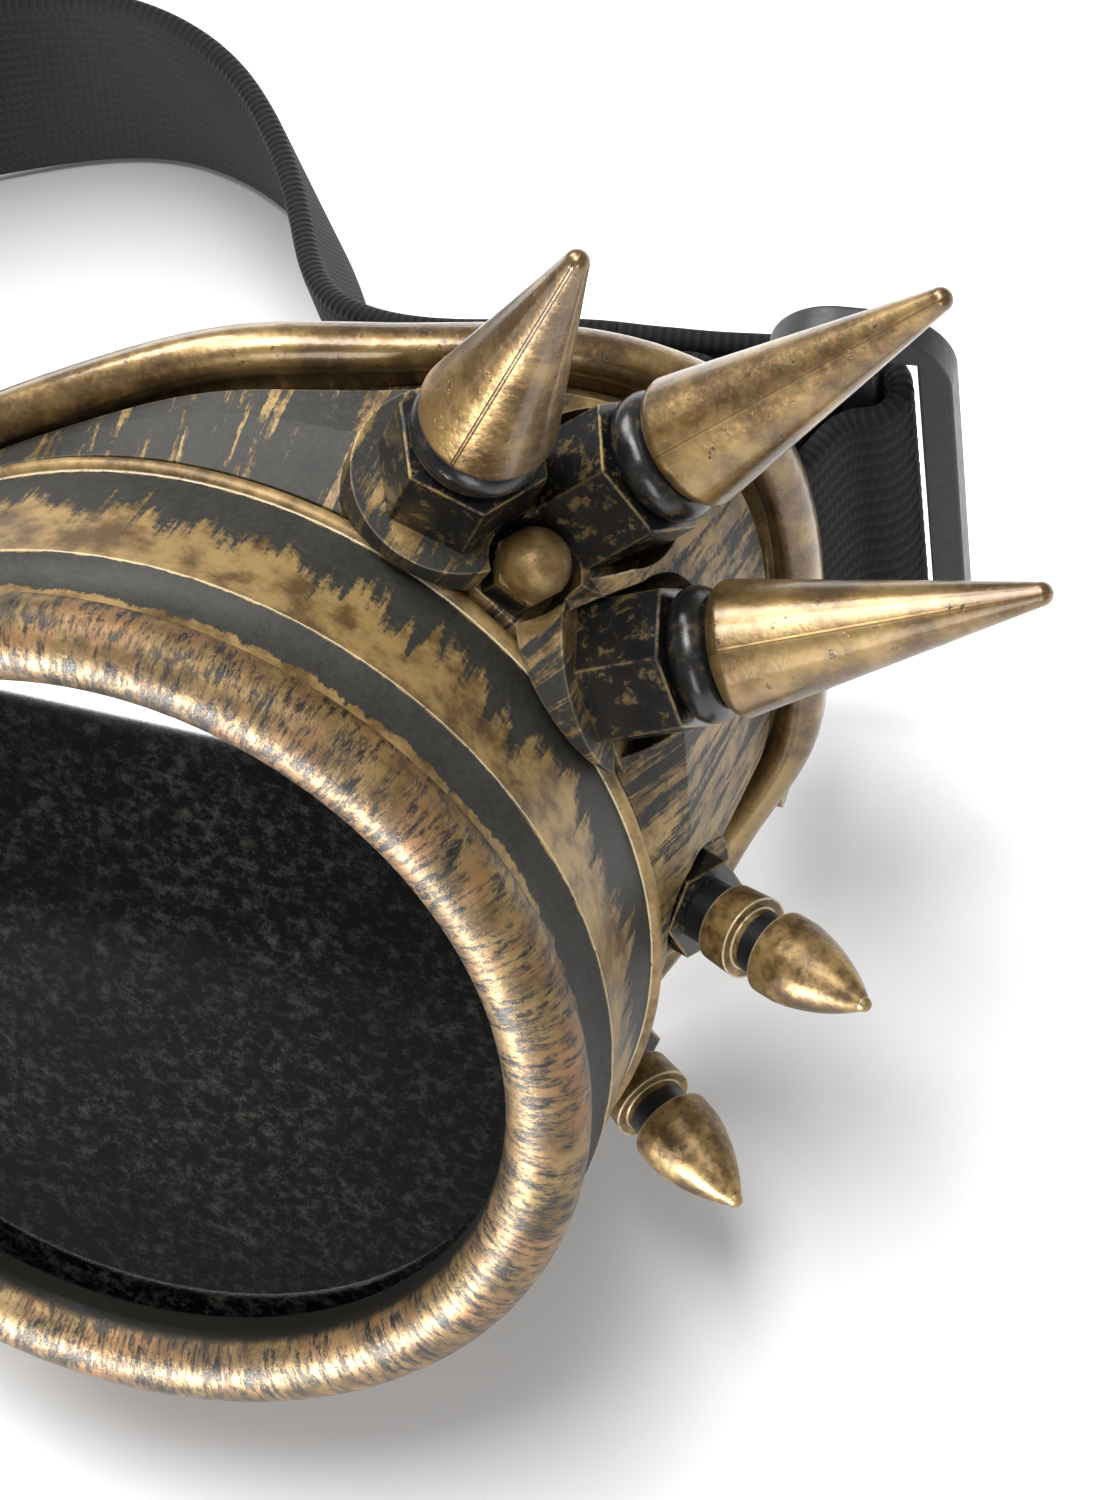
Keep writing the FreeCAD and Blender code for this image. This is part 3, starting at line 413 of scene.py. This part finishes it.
def antique(name, pits, seam=None):
    """Solid antique-gold paint with darker clouds, pits, scratches and, where given, a mould seam."""
    paint = Paint(name, metallic=0.66)
    paint.set("Coat Weight", 0.7)
    paint.set("Coat Roughness", 0.16)
    place = paint.place()
    clouds = paint.noise(place, 0.22, detail=5.0, roughness=0.66)
    grains = paint.noise(place, 2.6, detail=3.0)
    dents = paint.step(paint.noise(place, 0.9, detail=5.0, roughness=0.72), 0.25, 0.10)
    long = paint.vector("MULTIPLY", place, (1.0, 1.0, 0.35))
    scratches = paint.step(paint.noise(long, 1.1, detail=6.0, roughness=0.7), 0.2, 0.05)
    holes = paint.math("MULTIPLY", paint.math("MAXIMUM", dents, scratches), pits)
    worn = paint.math("MULTIPLY", paint.edges(0.3 * MM), 0.6)
    base = paint.mix(paint.step(clouds, 0.2, 0.85), DARK_BRONZE, BRONZE)
    base = paint.mix(paint.math("MULTIPLY", paint.step(grains, 0.55, 1.0), 0.35), base, COPPER)
    base = paint.mix(worn, base, PALE_GOLD)
    base = paint.mix(holes, base, SOOT)
    height = paint.math("SUBTRACT", paint.math("MULTIPLY", grains, 0.25), holes)
    if seam is not None:
        point, across = seam
        offset = paint.vector("SUBTRACT", place, point / MM)
        distance = paint.math("ABSOLUTE", paint.dot(offset, across))
        line = paint.step(distance, 0.14, 0.02)
        base = paint.mix(paint.math("MULTIPLY", line, 0.55), base, DARK_BRONZE)
        height = paint.math("ADD", height, line)
    paint.set("Base Color", base)
    paint.set("Roughness", paint.blend(grains, 0.28, 0.42))
    paint.set("Normal", paint.bump(height, 0.06 * MM, 0.8, paint.rounded(WORN_EDGE)))
    return paint.material


def black_hardware(name, gold_edges):
    """Glossy black plastic with bronze rubbed onto its edges."""
    paint = Paint(name, roughness=0.24)
    place = paint.place()
    smears = paint.noise(place, 0.9, detail=5.0, roughness=0.7)
    edge = paint.math("MULTIPLY", paint.edges(HARDWARE_WORN_EDGE), paint.step(smears, 0.25, 0.6))
    rubbed = paint.math("MULTIPLY", paint.step(smears, 0.58, 0.9), 0.55)
    gold = paint.math("MULTIPLY", paint.math("MAXIMUM", edge, rubbed), gold_edges)
    paint.set("Base Color", paint.mix(gold, paint.mix(smears, BLACK_GLOSS, SOOT), BRONZE))
    paint.set("Metallic", paint.math("MULTIPLY", gold, 0.75))
    paint.set("Roughness", paint.blend(gold, paint.blend(smears, 0.18, 0.3), 0.42))
    paint.set("Normal", paint.bump(smears, 0.03 * MM, 0.5, paint.rounded(MOULDED_SOFT_EDGE)))
    return paint.material


def banded_stud(name, tip, direction):
    """Bronze bullet stud whose grooves are black."""
    paint = Paint(name)
    place = paint.place()
    along = paint.behind_tip(tip, direction)
    past_nose = paint.step(along, *STUD_GROOVE_START)
    past_groove = paint.step(along, *STUD_GROOVE_END)
    groove = paint.math("MULTIPLY", past_nose, paint.math("SUBTRACT", 1.0, past_groove))
    groove = paint.math("MAXIMUM", groove, paint.step(along, *STUD_NECK))
    clouds = paint.noise(place, 0.7, detail=5.0, roughness=0.65)
    smears = paint.step(paint.noise(place, 1.6, detail=4.0, roughness=0.7), 0.30, 0.12)
    worn = paint.math("MULTIPLY", paint.edges(WORN_EDGE), 0.8)
    base = paint.mix(paint.step(clouds, 0.2, 0.8), DARK_BRONZE, BRONZE)
    base = paint.mix(worn, base, PALE_GOLD)
    dark = paint.math("MAXIMUM", groove, paint.math("MULTIPLY", smears, 0.7))
    paint.set("Base Color", paint.mix(dark, base, BLACK_GLOSS))
    paint.set("Metallic", paint.math("MULTIPLY", paint.math("SUBTRACT", 1.0, dark), 0.5))
    paint.set("Roughness", paint.blend(clouds, 0.36, 0.5))
    paint.set("Normal", paint.bump(clouds, 0.05 * MM, 0.6, paint.rounded(SOFT_EDGE)))
    return paint.material


def dome_paint(name, tip, direction):
    """Hex bolt with a bronze dome and black sides."""
    paint = Paint(name)
    place = paint.place()
    smears = paint.noise(place, 0.9, detail=5.0, roughness=0.7)
    along = paint.math("ADD", paint.behind_tip(tip, direction), paint.math("MULTIPLY", smears, DOME_SMEAR))
    top = paint.math("SUBTRACT", 1.0, paint.step(along, *DOME_EDGE))
    edge = paint.math("MULTIPLY", paint.edges(WORN_EDGE), 0.7)
    gold = paint.math("MAXIMUM", top, edge)
    bronze = paint.mix(smears, DARK_BRONZE, BRONZE)
    paint.set("Base Color", paint.mix(gold, BLACK_GLOSS, bronze))
    paint.set("Metallic", paint.math("MULTIPLY", gold, 0.5))
    paint.set("Roughness", paint.blend(gold, 0.22, 0.44))
    paint.set("Normal", paint.bump(smears, 0.05 * MM, 0.6, paint.rounded(SOFT_EDGE)))
    return paint.material


def dark_glass(name):
    """Nearly black lens, mottled with small grey specks that are a painted reflection of a granular dark
    ground.
    """
    paint = Paint(name)
    paint.set("Specular IOR Level", 0.03)
    place = paint.place()
    # Grey specks: painted reflection of a granular dark ground in the lens
    reflected_grit = paint.noise(place, 1.1, detail=6.0, roughness=0.8)
    clouds = paint.noise(place, 0.08, detail=4.0, roughness=0.6)
    share = paint.math("MULTIPLY", paint.step(reflected_grit, 0.40, 0.95), paint.blend(clouds, 0.2, 1.0))
    paint.set("Base Color", paint.mix(share, LENS_BLACK, LENS_REFLECTED_GRIT))
    paint.set("Roughness", 0.02)
    return paint.material


def moulded(name, base, roughness, grain, metallic=0.0):
    """Plain plastic, rubber or metal with a fine grain."""
    paint = Paint(name, metallic=metallic)
    place = paint.place()
    grains = paint.noise(place, grain, detail=4.0, roughness=0.6)
    clouds = paint.noise(place, 0.2, detail=3.0)
    lighter = tuple(min(1.0, value * 1.5 + 0.003) for value in base[:3]) + (1.0,)
    paint.set("Base Color", paint.mix(paint.blend(0.6, clouds, grains), base, lighter))
    paint.set("Roughness", paint.blend(grains, roughness - 0.06, roughness + 0.08))
    paint.set("Normal", paint.bump(grains, 0.03 * MM, 0.6, paint.rounded(MOULDED_SOFT_EDGE)))
    return paint.material


def elastic(name):
    """Black woven elastic: rows of picks across the ribs and fuzz, on the strap's own coordinates."""
    paint = Paint(name, roughness=0.82)
    paint.set("Specular IOR Level", 0.2)
    paint.set("Sheen Weight", 0.06)
    paint.set("Sheen Roughness", 0.4)
    weave = paint.node("ShaderNodeAttribute", {}, attribute_name="weave").outputs["Vector"]
    along, across, edge = paint.split(weave)
    rib = paint.math("FLOOR", paint.math("MULTIPLY", across, float(RIBS)))
    stagger = paint.math("MULTIPLY", paint.math("MODULO", rib, 2.0), 0.5)
    pick = paint.math("ADD", paint.math("MULTIPLY", along, PICKS_PER_MM), stagger)
    pick_turn = paint.math("MULTIPLY", pick, 2 * math.pi)
    picks = paint.math("ADD", paint.math("MULTIPLY", paint.math("SINE", pick_turn), 0.5), 0.5)
    rib_turn = paint.math("MULTIPLY", across, 2 * math.pi * RIBS)
    ribs = paint.math("SUBTRACT", 0.5, paint.math("MULTIPLY", paint.math("COSINE", rib_turn), 0.5))
    fuzz = paint.noise(paint.place(), 2.4, detail=5.0, roughness=0.7)
    woven = paint.math("MULTIPLY", paint.math("POWER", picks, 0.8), paint.math("POWER", ribs, 0.6))
    lit = paint.math("ADD", paint.math("MULTIPLY", woven, 0.6), paint.math("MULTIPLY", fuzz, 0.4))
    edge_turn = paint.math("MULTIPLY", along, 2 * math.pi * BRAIDS_PER_MM)
    braid = paint.math("ADD", paint.math("MULTIPLY", paint.math("SINE", edge_turn), 0.5), 0.5)
    lit = paint.blend(edge, lit, braid)
    paint.set("Base Color", paint.mix(paint.math("MULTIPLY", lit, 0.62), STRAP_BLACK, STRAP_LIT))
    paint.set("Normal", paint.bump(lit, 0.08 * MM, 0.9))
    return paint.material


def thread(name):
    """Twisted black thread."""
    paint = Paint(name, roughness=0.6)
    place = paint.place()
    fibres = paint.noise(place, 6.0, detail=3.0)
    paint.set("Base Color", paint.mix(fibres, SOOT, STRAP_LIT))
    paint.set("Normal", paint.bump(fibres, 0.04 * MM, 0.7))
    return paint.material


def turned_axis(node):
    """Tip and outward direction of a turned piece."""
    points = np.array([vertex.co for vertex in NODES[node].data.vertices])
    middle = points.mean(axis=0)
    side = "left" if middle[0] > 0 else "right"
    direction = np.linalg.svd(points - middle, full_matrices=False)[2][0]
    if np.dot(direction, middle - np.array(OPENING[side])) < 0:
        direction = -direction
    for _ in range(AXIS_ROUNDS):
        along = points @ direction
        tip = points[along > along.max() - TIP_SLICE].mean(axis=0)
        root = points[along < along.min() + TIP_SLICE].mean(axis=0)
        direction = (tip - root) / np.linalg.norm(tip - root)
    return Vector(tip), Vector(direction)


def wear(node, material):
    """Give a CAD node its material."""
    slots = NODES[node].data.materials
    slots.clear()
    slots.append(material)


def smooth(share):
    """Smooth step of a share from 0 to 1."""
    return share * share * (3 - 2 * share)


def temple_point(side, out, back):
    """Point from its place beside the bracket's bar, in millimetres outwards and backwards."""
    backwards = Vector((0, math.cos(TEMPLE_LEAN), -math.sin(TEMPLE_LEAN)))
    point = BAR_CENTRE + Vector((out * MM, 0, 0)) + backwards * (back * MM)
    return Vector((SIDES[side] * point.x, point.y, point.z))


def arc(centre, radius, first, last):
    """Points on an arc between two angles in degrees."""
    points = []
    for step in range(ARC_STEPS + 1):
        angle = math.radians(first + (last - first) * step / ARC_STEPS)
        points.append((centre[0] + radius * math.cos(angle), centre[1] + radius * math.sin(angle)))
    return points


def in_front(points):
    """The strap's other layer, in front of these points."""
    return [(out, back - STRAP_LAYER / MM) for out, back in points]


def strap_route():
    """Points along the whole strap, and the number of the one where the adjuster meets the head band."""
    left = in_front(LEFT_SEAM[:0:-1]) + [LEFT_TAIL_TURN] + arc((0, 0), BAR_BEND, 180, BAR_END)
    left += arc(FOLD_CENTRE, FOLD_BEND, FOLD_HEADING - 90, FOLD_HEADING + 90) + LEFT_SEAM
    right = RIGHT_SEAM + RIGHT_OUTER_TURN + arc((0, 0), BAR_BEND, 0, -180) + [RIGHT_TAIL_TURN]
    right += in_front(RIGHT_SEAM[::-1])
    points = [temple_point("left", *point) for point in left + [LEFT_JUNCTION]]
    for share, back, low in BAND_ROUTE:
        height = CAD_BOX[0].z + low * MM + STRAP_WIDTH / 2
        points.append(Vector((share * BAR_CENTRE.x, OPENING["left"].y + back * MM, height)))
    points += [temple_point("right", *point) for point in right]
    return np.array(points), len(left)


def spline(points):
    """Natural cubic spline through points: its knots and a function from knot values to points."""
    knots = np.concatenate([[0], np.cumsum(np.linalg.norm(np.diff(points, axis=0), axis=1))])
    spans = np.diff(knots)
    count = len(points)
    matrix = np.eye(count)
    target = np.zeros((count, 3))
    for i in range(1, count - 1):
        matrix[i, i - 1:i + 2] = spans[i - 1], 2 * (spans[i - 1] + spans[i]), spans[i]
        slopes = (points[i + 1] - points[i]) / spans[i] - (points[i] - points[i - 1]) / spans[i - 1]
        target[i] = 6 * slopes
    bends = np.linalg.solve(matrix, target)

    def at(values):
        i = np.clip(np.searchsorted(knots, values, side="right") - 1, 0, count - 2)
        h = spans[i][:, None]
        a = (knots[i + 1] - values)[:, None] / h
        b = 1 - a
        curved = (a ** 3 - a) * bends[i] + (b ** 3 - b) * bends[i + 1]
        return a * points[i] + b * points[i + 1] + curved * h ** 2 / 6

    return knots, at


def strap_stations(first, last, at):
    """Evenly spaced middles along a stretch of the strap, with their sideways and upward directions."""
    fine = np.linspace(first, last, LINE_SAMPLES)
    line = at(fine)
    run = np.concatenate([[0], np.cumsum(np.linalg.norm(np.diff(line, axis=0), axis=1))])
    count = int(run[-1] / STRAP_STATION)
    where = np.interp(np.linspace(0, run[-1], count + 1), run, fine)
    middles = at(where)
    headings = np.gradient(middles, axis=0)
    headings /= np.linalg.norm(headings, axis=1)[:, None]
    share = np.clip((np.abs(middles[:, 0]) - LEAN_START) / (LEAN_END - LEAN_START), 0, 1)
    lean = BAND_LEAN + (TEMPLE_LEAN - BAND_LEAN) * smooth(share)
    ups = np.stack([np.zeros_like(lean), np.sin(lean), np.cos(lean)], axis=1)
    across = np.cross(headings, ups)
    across /= np.linalg.norm(across, axis=1)[:, None]
    return middles, across, ups, np.linspace(0, run[-1], count + 1)


def strap_profile():
    """Outline of the elastic's section, as (height, thickness offset, place across, on the edge cord)."""
    half = STRAP_THICKNESS / 2
    flat = STRAP_WIDTH / 2 - EDGE_CORD
    face = []
    for step in range(RIBS * RIB_STEPS + 1):
        share = step / (RIBS * RIB_STEPS)
        hollow = 0.5 + 0.5 * math.cos(2 * math.pi * RIBS * share)
        face.append((flat * (2 * share - 1), half - RIB_DEPTH * hollow, share, 0.0))
    cord = []
    for step in range(1, CORD_STEPS):
        angle = math.pi * step / CORD_STEPS
        cord.append((flat + EDGE_CORD * math.sin(angle), half * math.cos(angle), 1.0, 1.0))
    back = [(height, -offset, share, on_edge) for height, offset, share, on_edge in reversed(face)]
    low_cord = [(-height, -offset, 0.0, 1.0) for height, offset, _, _ in cord]
    return face + cord + back + low_cord


def strap_mesh(name, first, last, at):
    """Elastic strap along a stretch of its line, as one closed mesh."""
    middles, across, ups, run = strap_stations(first, last, at)
    profile = strap_profile()
    points = []
    weave = []
    for middle, side, up, distance in zip(middles, across, ups, run):
        for height, offset, share, on_edge in profile:
            points.append(middle + up * height + side * offset)
            weave.append((distance / MM, share, on_edge))
    size = len(profile)
    faces = []
    for row in range(len(middles) - 1):
        for k in range(size):
            near = row * size + k
            side = row * size + (k + 1) % size
            faces.append((near, near + size, side + size, side))
    end = (len(middles) - 1) * size
    faces.append(tuple(range(size)))
    faces.append(tuple(end + k for k in reversed(range(size))))
    mesh = bpy.data.meshes.new(name)
    mesh.from_pydata([tuple(point) for point in points], [], faces)
    mesh.attributes.new("weave", "FLOAT_VECTOR", "POINT").data.foreach_set("vector", np.ravel(weave))
    mesh.polygons.foreach_set("use_smooth", [True] * len(mesh.polygons))
    mesh.update()
    strap = bpy.data.objects.new(name, mesh)
    bpy.context.scene.collection.objects.link(strap)
    return strap


def stitch_piece(name, side, first, last, at):
    """Two zigzag bars of thread on the strap's sewn end."""
    middles, across, ups, run = strap_stations(first, last, at)
    if side == "right":
        middles, across, ups = middles[::-1], across[::-1], ups[::-1]
    height = STRAP_WIDTH - 2 * STITCH_MARGIN
    count = int(height / STITCH_PITCH)
    data = bpy.data.curves.new(name, "CURVE")
    data.dimensions = "3D"
    data.bevel_depth = THREAD_RADIUS
    data.bevel_resolution = 2
    data.use_fill_caps = True
    for bar in (1, 2):
        station = int(round(bar * STITCH_SPACING / STRAP_STATION))
        along = (middles[station + 1] - middles[station - 1])
        along /= np.linalg.norm(along)
        line = data.splines.new("NURBS")
        line.points.add(2 * count)
        for k in range(2 * count + 1):
            rise = -height / 2 + height * k / (2 * count)
            swing = STITCH_SWING * (1 if k % 2 else -1)
            point = middles[station] + ups[station] * rise + along * swing
            point = point + across[station] * (STRAP_THICKNESS / 2 + STITCH_RISE)
            line.points[k].co = (*point, 1.0)
        line.order_u = 3
        line.use_endpoint_u = True
    curve = bpy.data.objects.new(name + "_line", data)
    bpy.context.scene.collection.objects.link(curve)
    bpy.context.view_layer.update()
    mesh = bpy.data.meshes.new_from_object(curve.evaluated_get(bpy.context.evaluated_depsgraph_get()))
    bpy.data.objects.remove(curve)
    mesh.polygons.foreach_set("use_smooth", [True] * len(mesh.polygons))
    stitches = bpy.data.objects.new(name, mesh)
    bpy.context.scene.collection.objects.link(stitches)
    return stitches


# Painted pieces of each eye: share of paint by depth behind the lens opening's plane, in millimetres
RING_COVERAGE = [
    (-3.0, 0.58), (-1.0, 0.55), (1.2, 0.56), (2.4, 0.80), (3.1, 0.55), (3.7, 0.05), (5.2, 0.03),
    (5.45, 0.92), (7.5, 0.68), (10.0, 0.50), (12.5, 0.28), (13.8, 0.06), (14.2, 0.75), (15.2, 0.92)]
CUP_COVERAGE = [(10.0, 0.1), (15.6, 0.42), (17.0, 0.38), (24.0, 0.38), (34.0, 0.40), (37.0, 0.10)]
CUP_TEMPLE = 0.16
SEAM_SIDE = WORN_TO_REST @ CAMERA_BACK

RUBBER = moulded("rubber", RUBBER_BLACK, 0.7, 1.2)
COLLAR = black_hardware("collar_black", 0.25)
NUT = black_hardware("nut_black", 1.0)
RIM = antique("rim_gold", 0.6)
LENS = dark_glass("lens_glass")
for side in SIDES:
    wear(side + "_lens_ring", dry_brushed(side + "_ring_paint", side, RING_COVERAGE, 0.0, 0.48, 1.0))
    wear(side + "_eye_cup", dry_brushed(side + "_cup_paint", side, CUP_COVERAGE, CUP_TEMPLE, 0.2, 0.3))
    wear(side + "_face_rim", RIM)
    wear(side + "_lens", LENS)
    wear(side + "_lens_seal", RUBBER)
    wear(side + "_spike_nuts", NUT)
    wear(side + "_stud_nuts", NUT)
    wear(side + "_spike_collars", COLLAR)
    for spike in (side + "_upper_spike", side + "_rear_spike", side + "_front_spike"):
        tip, direction = turned_axis(spike)
        mould = direction.cross(SEAM_SIDE).normalized()
        wear(spike, antique(spike + "_gold", 0.8, (tip, mould)))
    for stud in (side + "_upper_stud", side + "_lower_stud"):
        wear(stud, banded_stud(stud + "_paint", *turned_axis(stud)))
    wear(side + "_dome_bolt", dome_paint(side + "_dome_paint", *turned_axis(side + "_dome_bolt")))
wear("strap_slider", moulded("slider_grey", SLIDER_GREY, 0.42, 1.6))
wear("nose_hinge_pin", moulded("pin_steel", STEEL, 0.32, 2.0, metallic=0.9))

# Elastic strap and its stitching
ROUTE, JUNCTION = strap_route()
KNOTS, LINE = spline(ROUTE)
ELASTIC = elastic("elastic")
adjuster = strap_mesh("adjuster_elastic", KNOTS[0], KNOTS[JUNCTION], LINE)
head_band = strap_mesh("head_elastic", KNOTS[JUNCTION], KNOTS[-1], LINE)
for strap, node in ((adjuster, "adjuster_strap"), (head_band, "head_strap")):
    strap.data.materials.append(ELASTIC)
    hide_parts(node)
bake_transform(adjuster)
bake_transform(head_band)
THREAD = thread("thread")
SEWN_ENDS = (("left", KNOTS[0], KNOTS[SEWN_POINTS]), ("right", KNOTS[-1 - SEWN_POINTS], KNOTS[-1]))
for side, first, last in SEWN_ENDS:
    stitches = stitch_piece(side + "_stitching", side, first, last, LINE)
    stitches.data.materials.append(THREAD)
    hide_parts(side + "_strap_stitches")
    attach(stitches, side + "_cup")


def area_light(name, place, target, width, height, power):
    """Rectangular light that faces its target."""
    data = bpy.data.lights.new(name, "AREA")
    data.shape = "RECTANGLE"
    data.size = width
    data.size_y = height
    data.energy = power
    light = bpy.data.objects.new(name, data)
    light.location = place
    light.rotation_euler = (Vector(target) - Vector(place)).to_track_quat("-Z", "Y").to_euler()
    light.visible_camera = False
    bpy.context.scene.collection.objects.link(light)
    return light


def make_floor():
    """White table under the goggles."""
    mesh = bpy.data.meshes.new("floor")
    corners = [(x * FLOOR_HALF, y * FLOOR_HALF, 0) for x, y in ((-1, -1), (1, -1), (1, 1), (-1, 1))]
    mesh.from_pydata(corners, [], [(0, 1, 2, 3)])
    floor = bpy.data.objects.new("floor", mesh)
    floor.location.z = CAD_BOX[0].z - FLOOR_GAP
    bpy.context.scene.collection.objects.link(floor)
    paint = Paint("floor_white", roughness=0.9)
    paint.set("Base Color", paint.mix(paint.noise(paint.place(), 0.01), FLOOR_GREY, FLOOR_WHITE))
    mesh.materials.append(paint.material)


def make_camera():
    """Camera that sees the left eye piece as the photograph does."""
    data = bpy.data.cameras.new("camera")
    data.lens = CAMERA_LENS
    data.sensor_width = SENSOR
    data.clip_start = 0.01
    camera = bpy.data.objects.new("camera", data)
    up = CAMERA_BACK.cross(CAMERA_RIGHT)
    turn = Matrix((CAMERA_RIGHT, up, CAMERA_BACK)).transposed()
    place = Matrix.Translation(OPENING["left"] + WORN_TO_REST @ CAMERA_OFFSET)
    camera.matrix_world = place @ (WORN_TO_REST @ turn).to_4x4()
    bpy.context.scene.collection.objects.link(camera)
    bpy.context.scene.camera = camera


def seen_in_lens(across, down, distance):
    """Place at a distance that the left lens mirrors to the camera, at a pixel of the picture."""
    up = CAMERA_BACK.cross(CAMERA_RIGHT)
    scale = CAMERA_LENS * IMAGE_HEIGHT / SENSOR
    look = CAMERA_RIGHT * ((across - IMAGE_WIDTH / 2) / scale) - CAMERA_BACK
    look -= up * ((down - IMAGE_HEIGHT / 2) / scale)
    on_lens = CAMERA_OFFSET + look * ((LENS_DEPTH - CAMERA_OFFSET.y) / look.y)
    mirrored = Vector((look.x, -look.y, look.z)).normalized()
    return OPENING["left"] + WORN_TO_REST @ (on_lens + mirrored * distance)


def lens_glint():
    """Bright panel whose lower edge shows in the lens as the straight edge of a narrow glint."""
    first = seen_in_lens(*GLINT_START, GLINT_DISTANCE)
    last = seen_in_lens(*GLINT_END, GLINT_DISTANCE)
    along = (last - first).normalized()
    facing = (OPENING["left"] - (first + last) / 2).normalized()
    up = along.cross(facing).normalized()
    if up.z < 0:
        up = -up
    middle = (first + last) / 2 + up * (GLINT_HEIGHT / 2)
    width = (last - first).length
    light = area_light("glint", middle, OPENING["left"], width, GLINT_HEIGHT, GLINT_POWER)
    back = along.cross(up)
    if back.dot(facing) > 0:
        along = -along
        back = -back
    light.matrix_world = Matrix.Translation(middle) @ Matrix((along, up, back)).transposed().to_4x4()
    light.visible_diffuse = False


make_floor()
make_camera()
lens_glint()
for name, values in LIGHTS.items():
    area_light(name, *values)
world = bpy.data.worlds.new("studio")
bpy.context.scene.world = world
world.use_nodes = True
sky = world.node_tree.nodes["Background"].inputs
sky["Color"].default_value = SKY_COLOUR
sky["Strength"].default_value = SKY_STRENGTH
bpy.context.scene.view_settings.view_transform = "Standard"
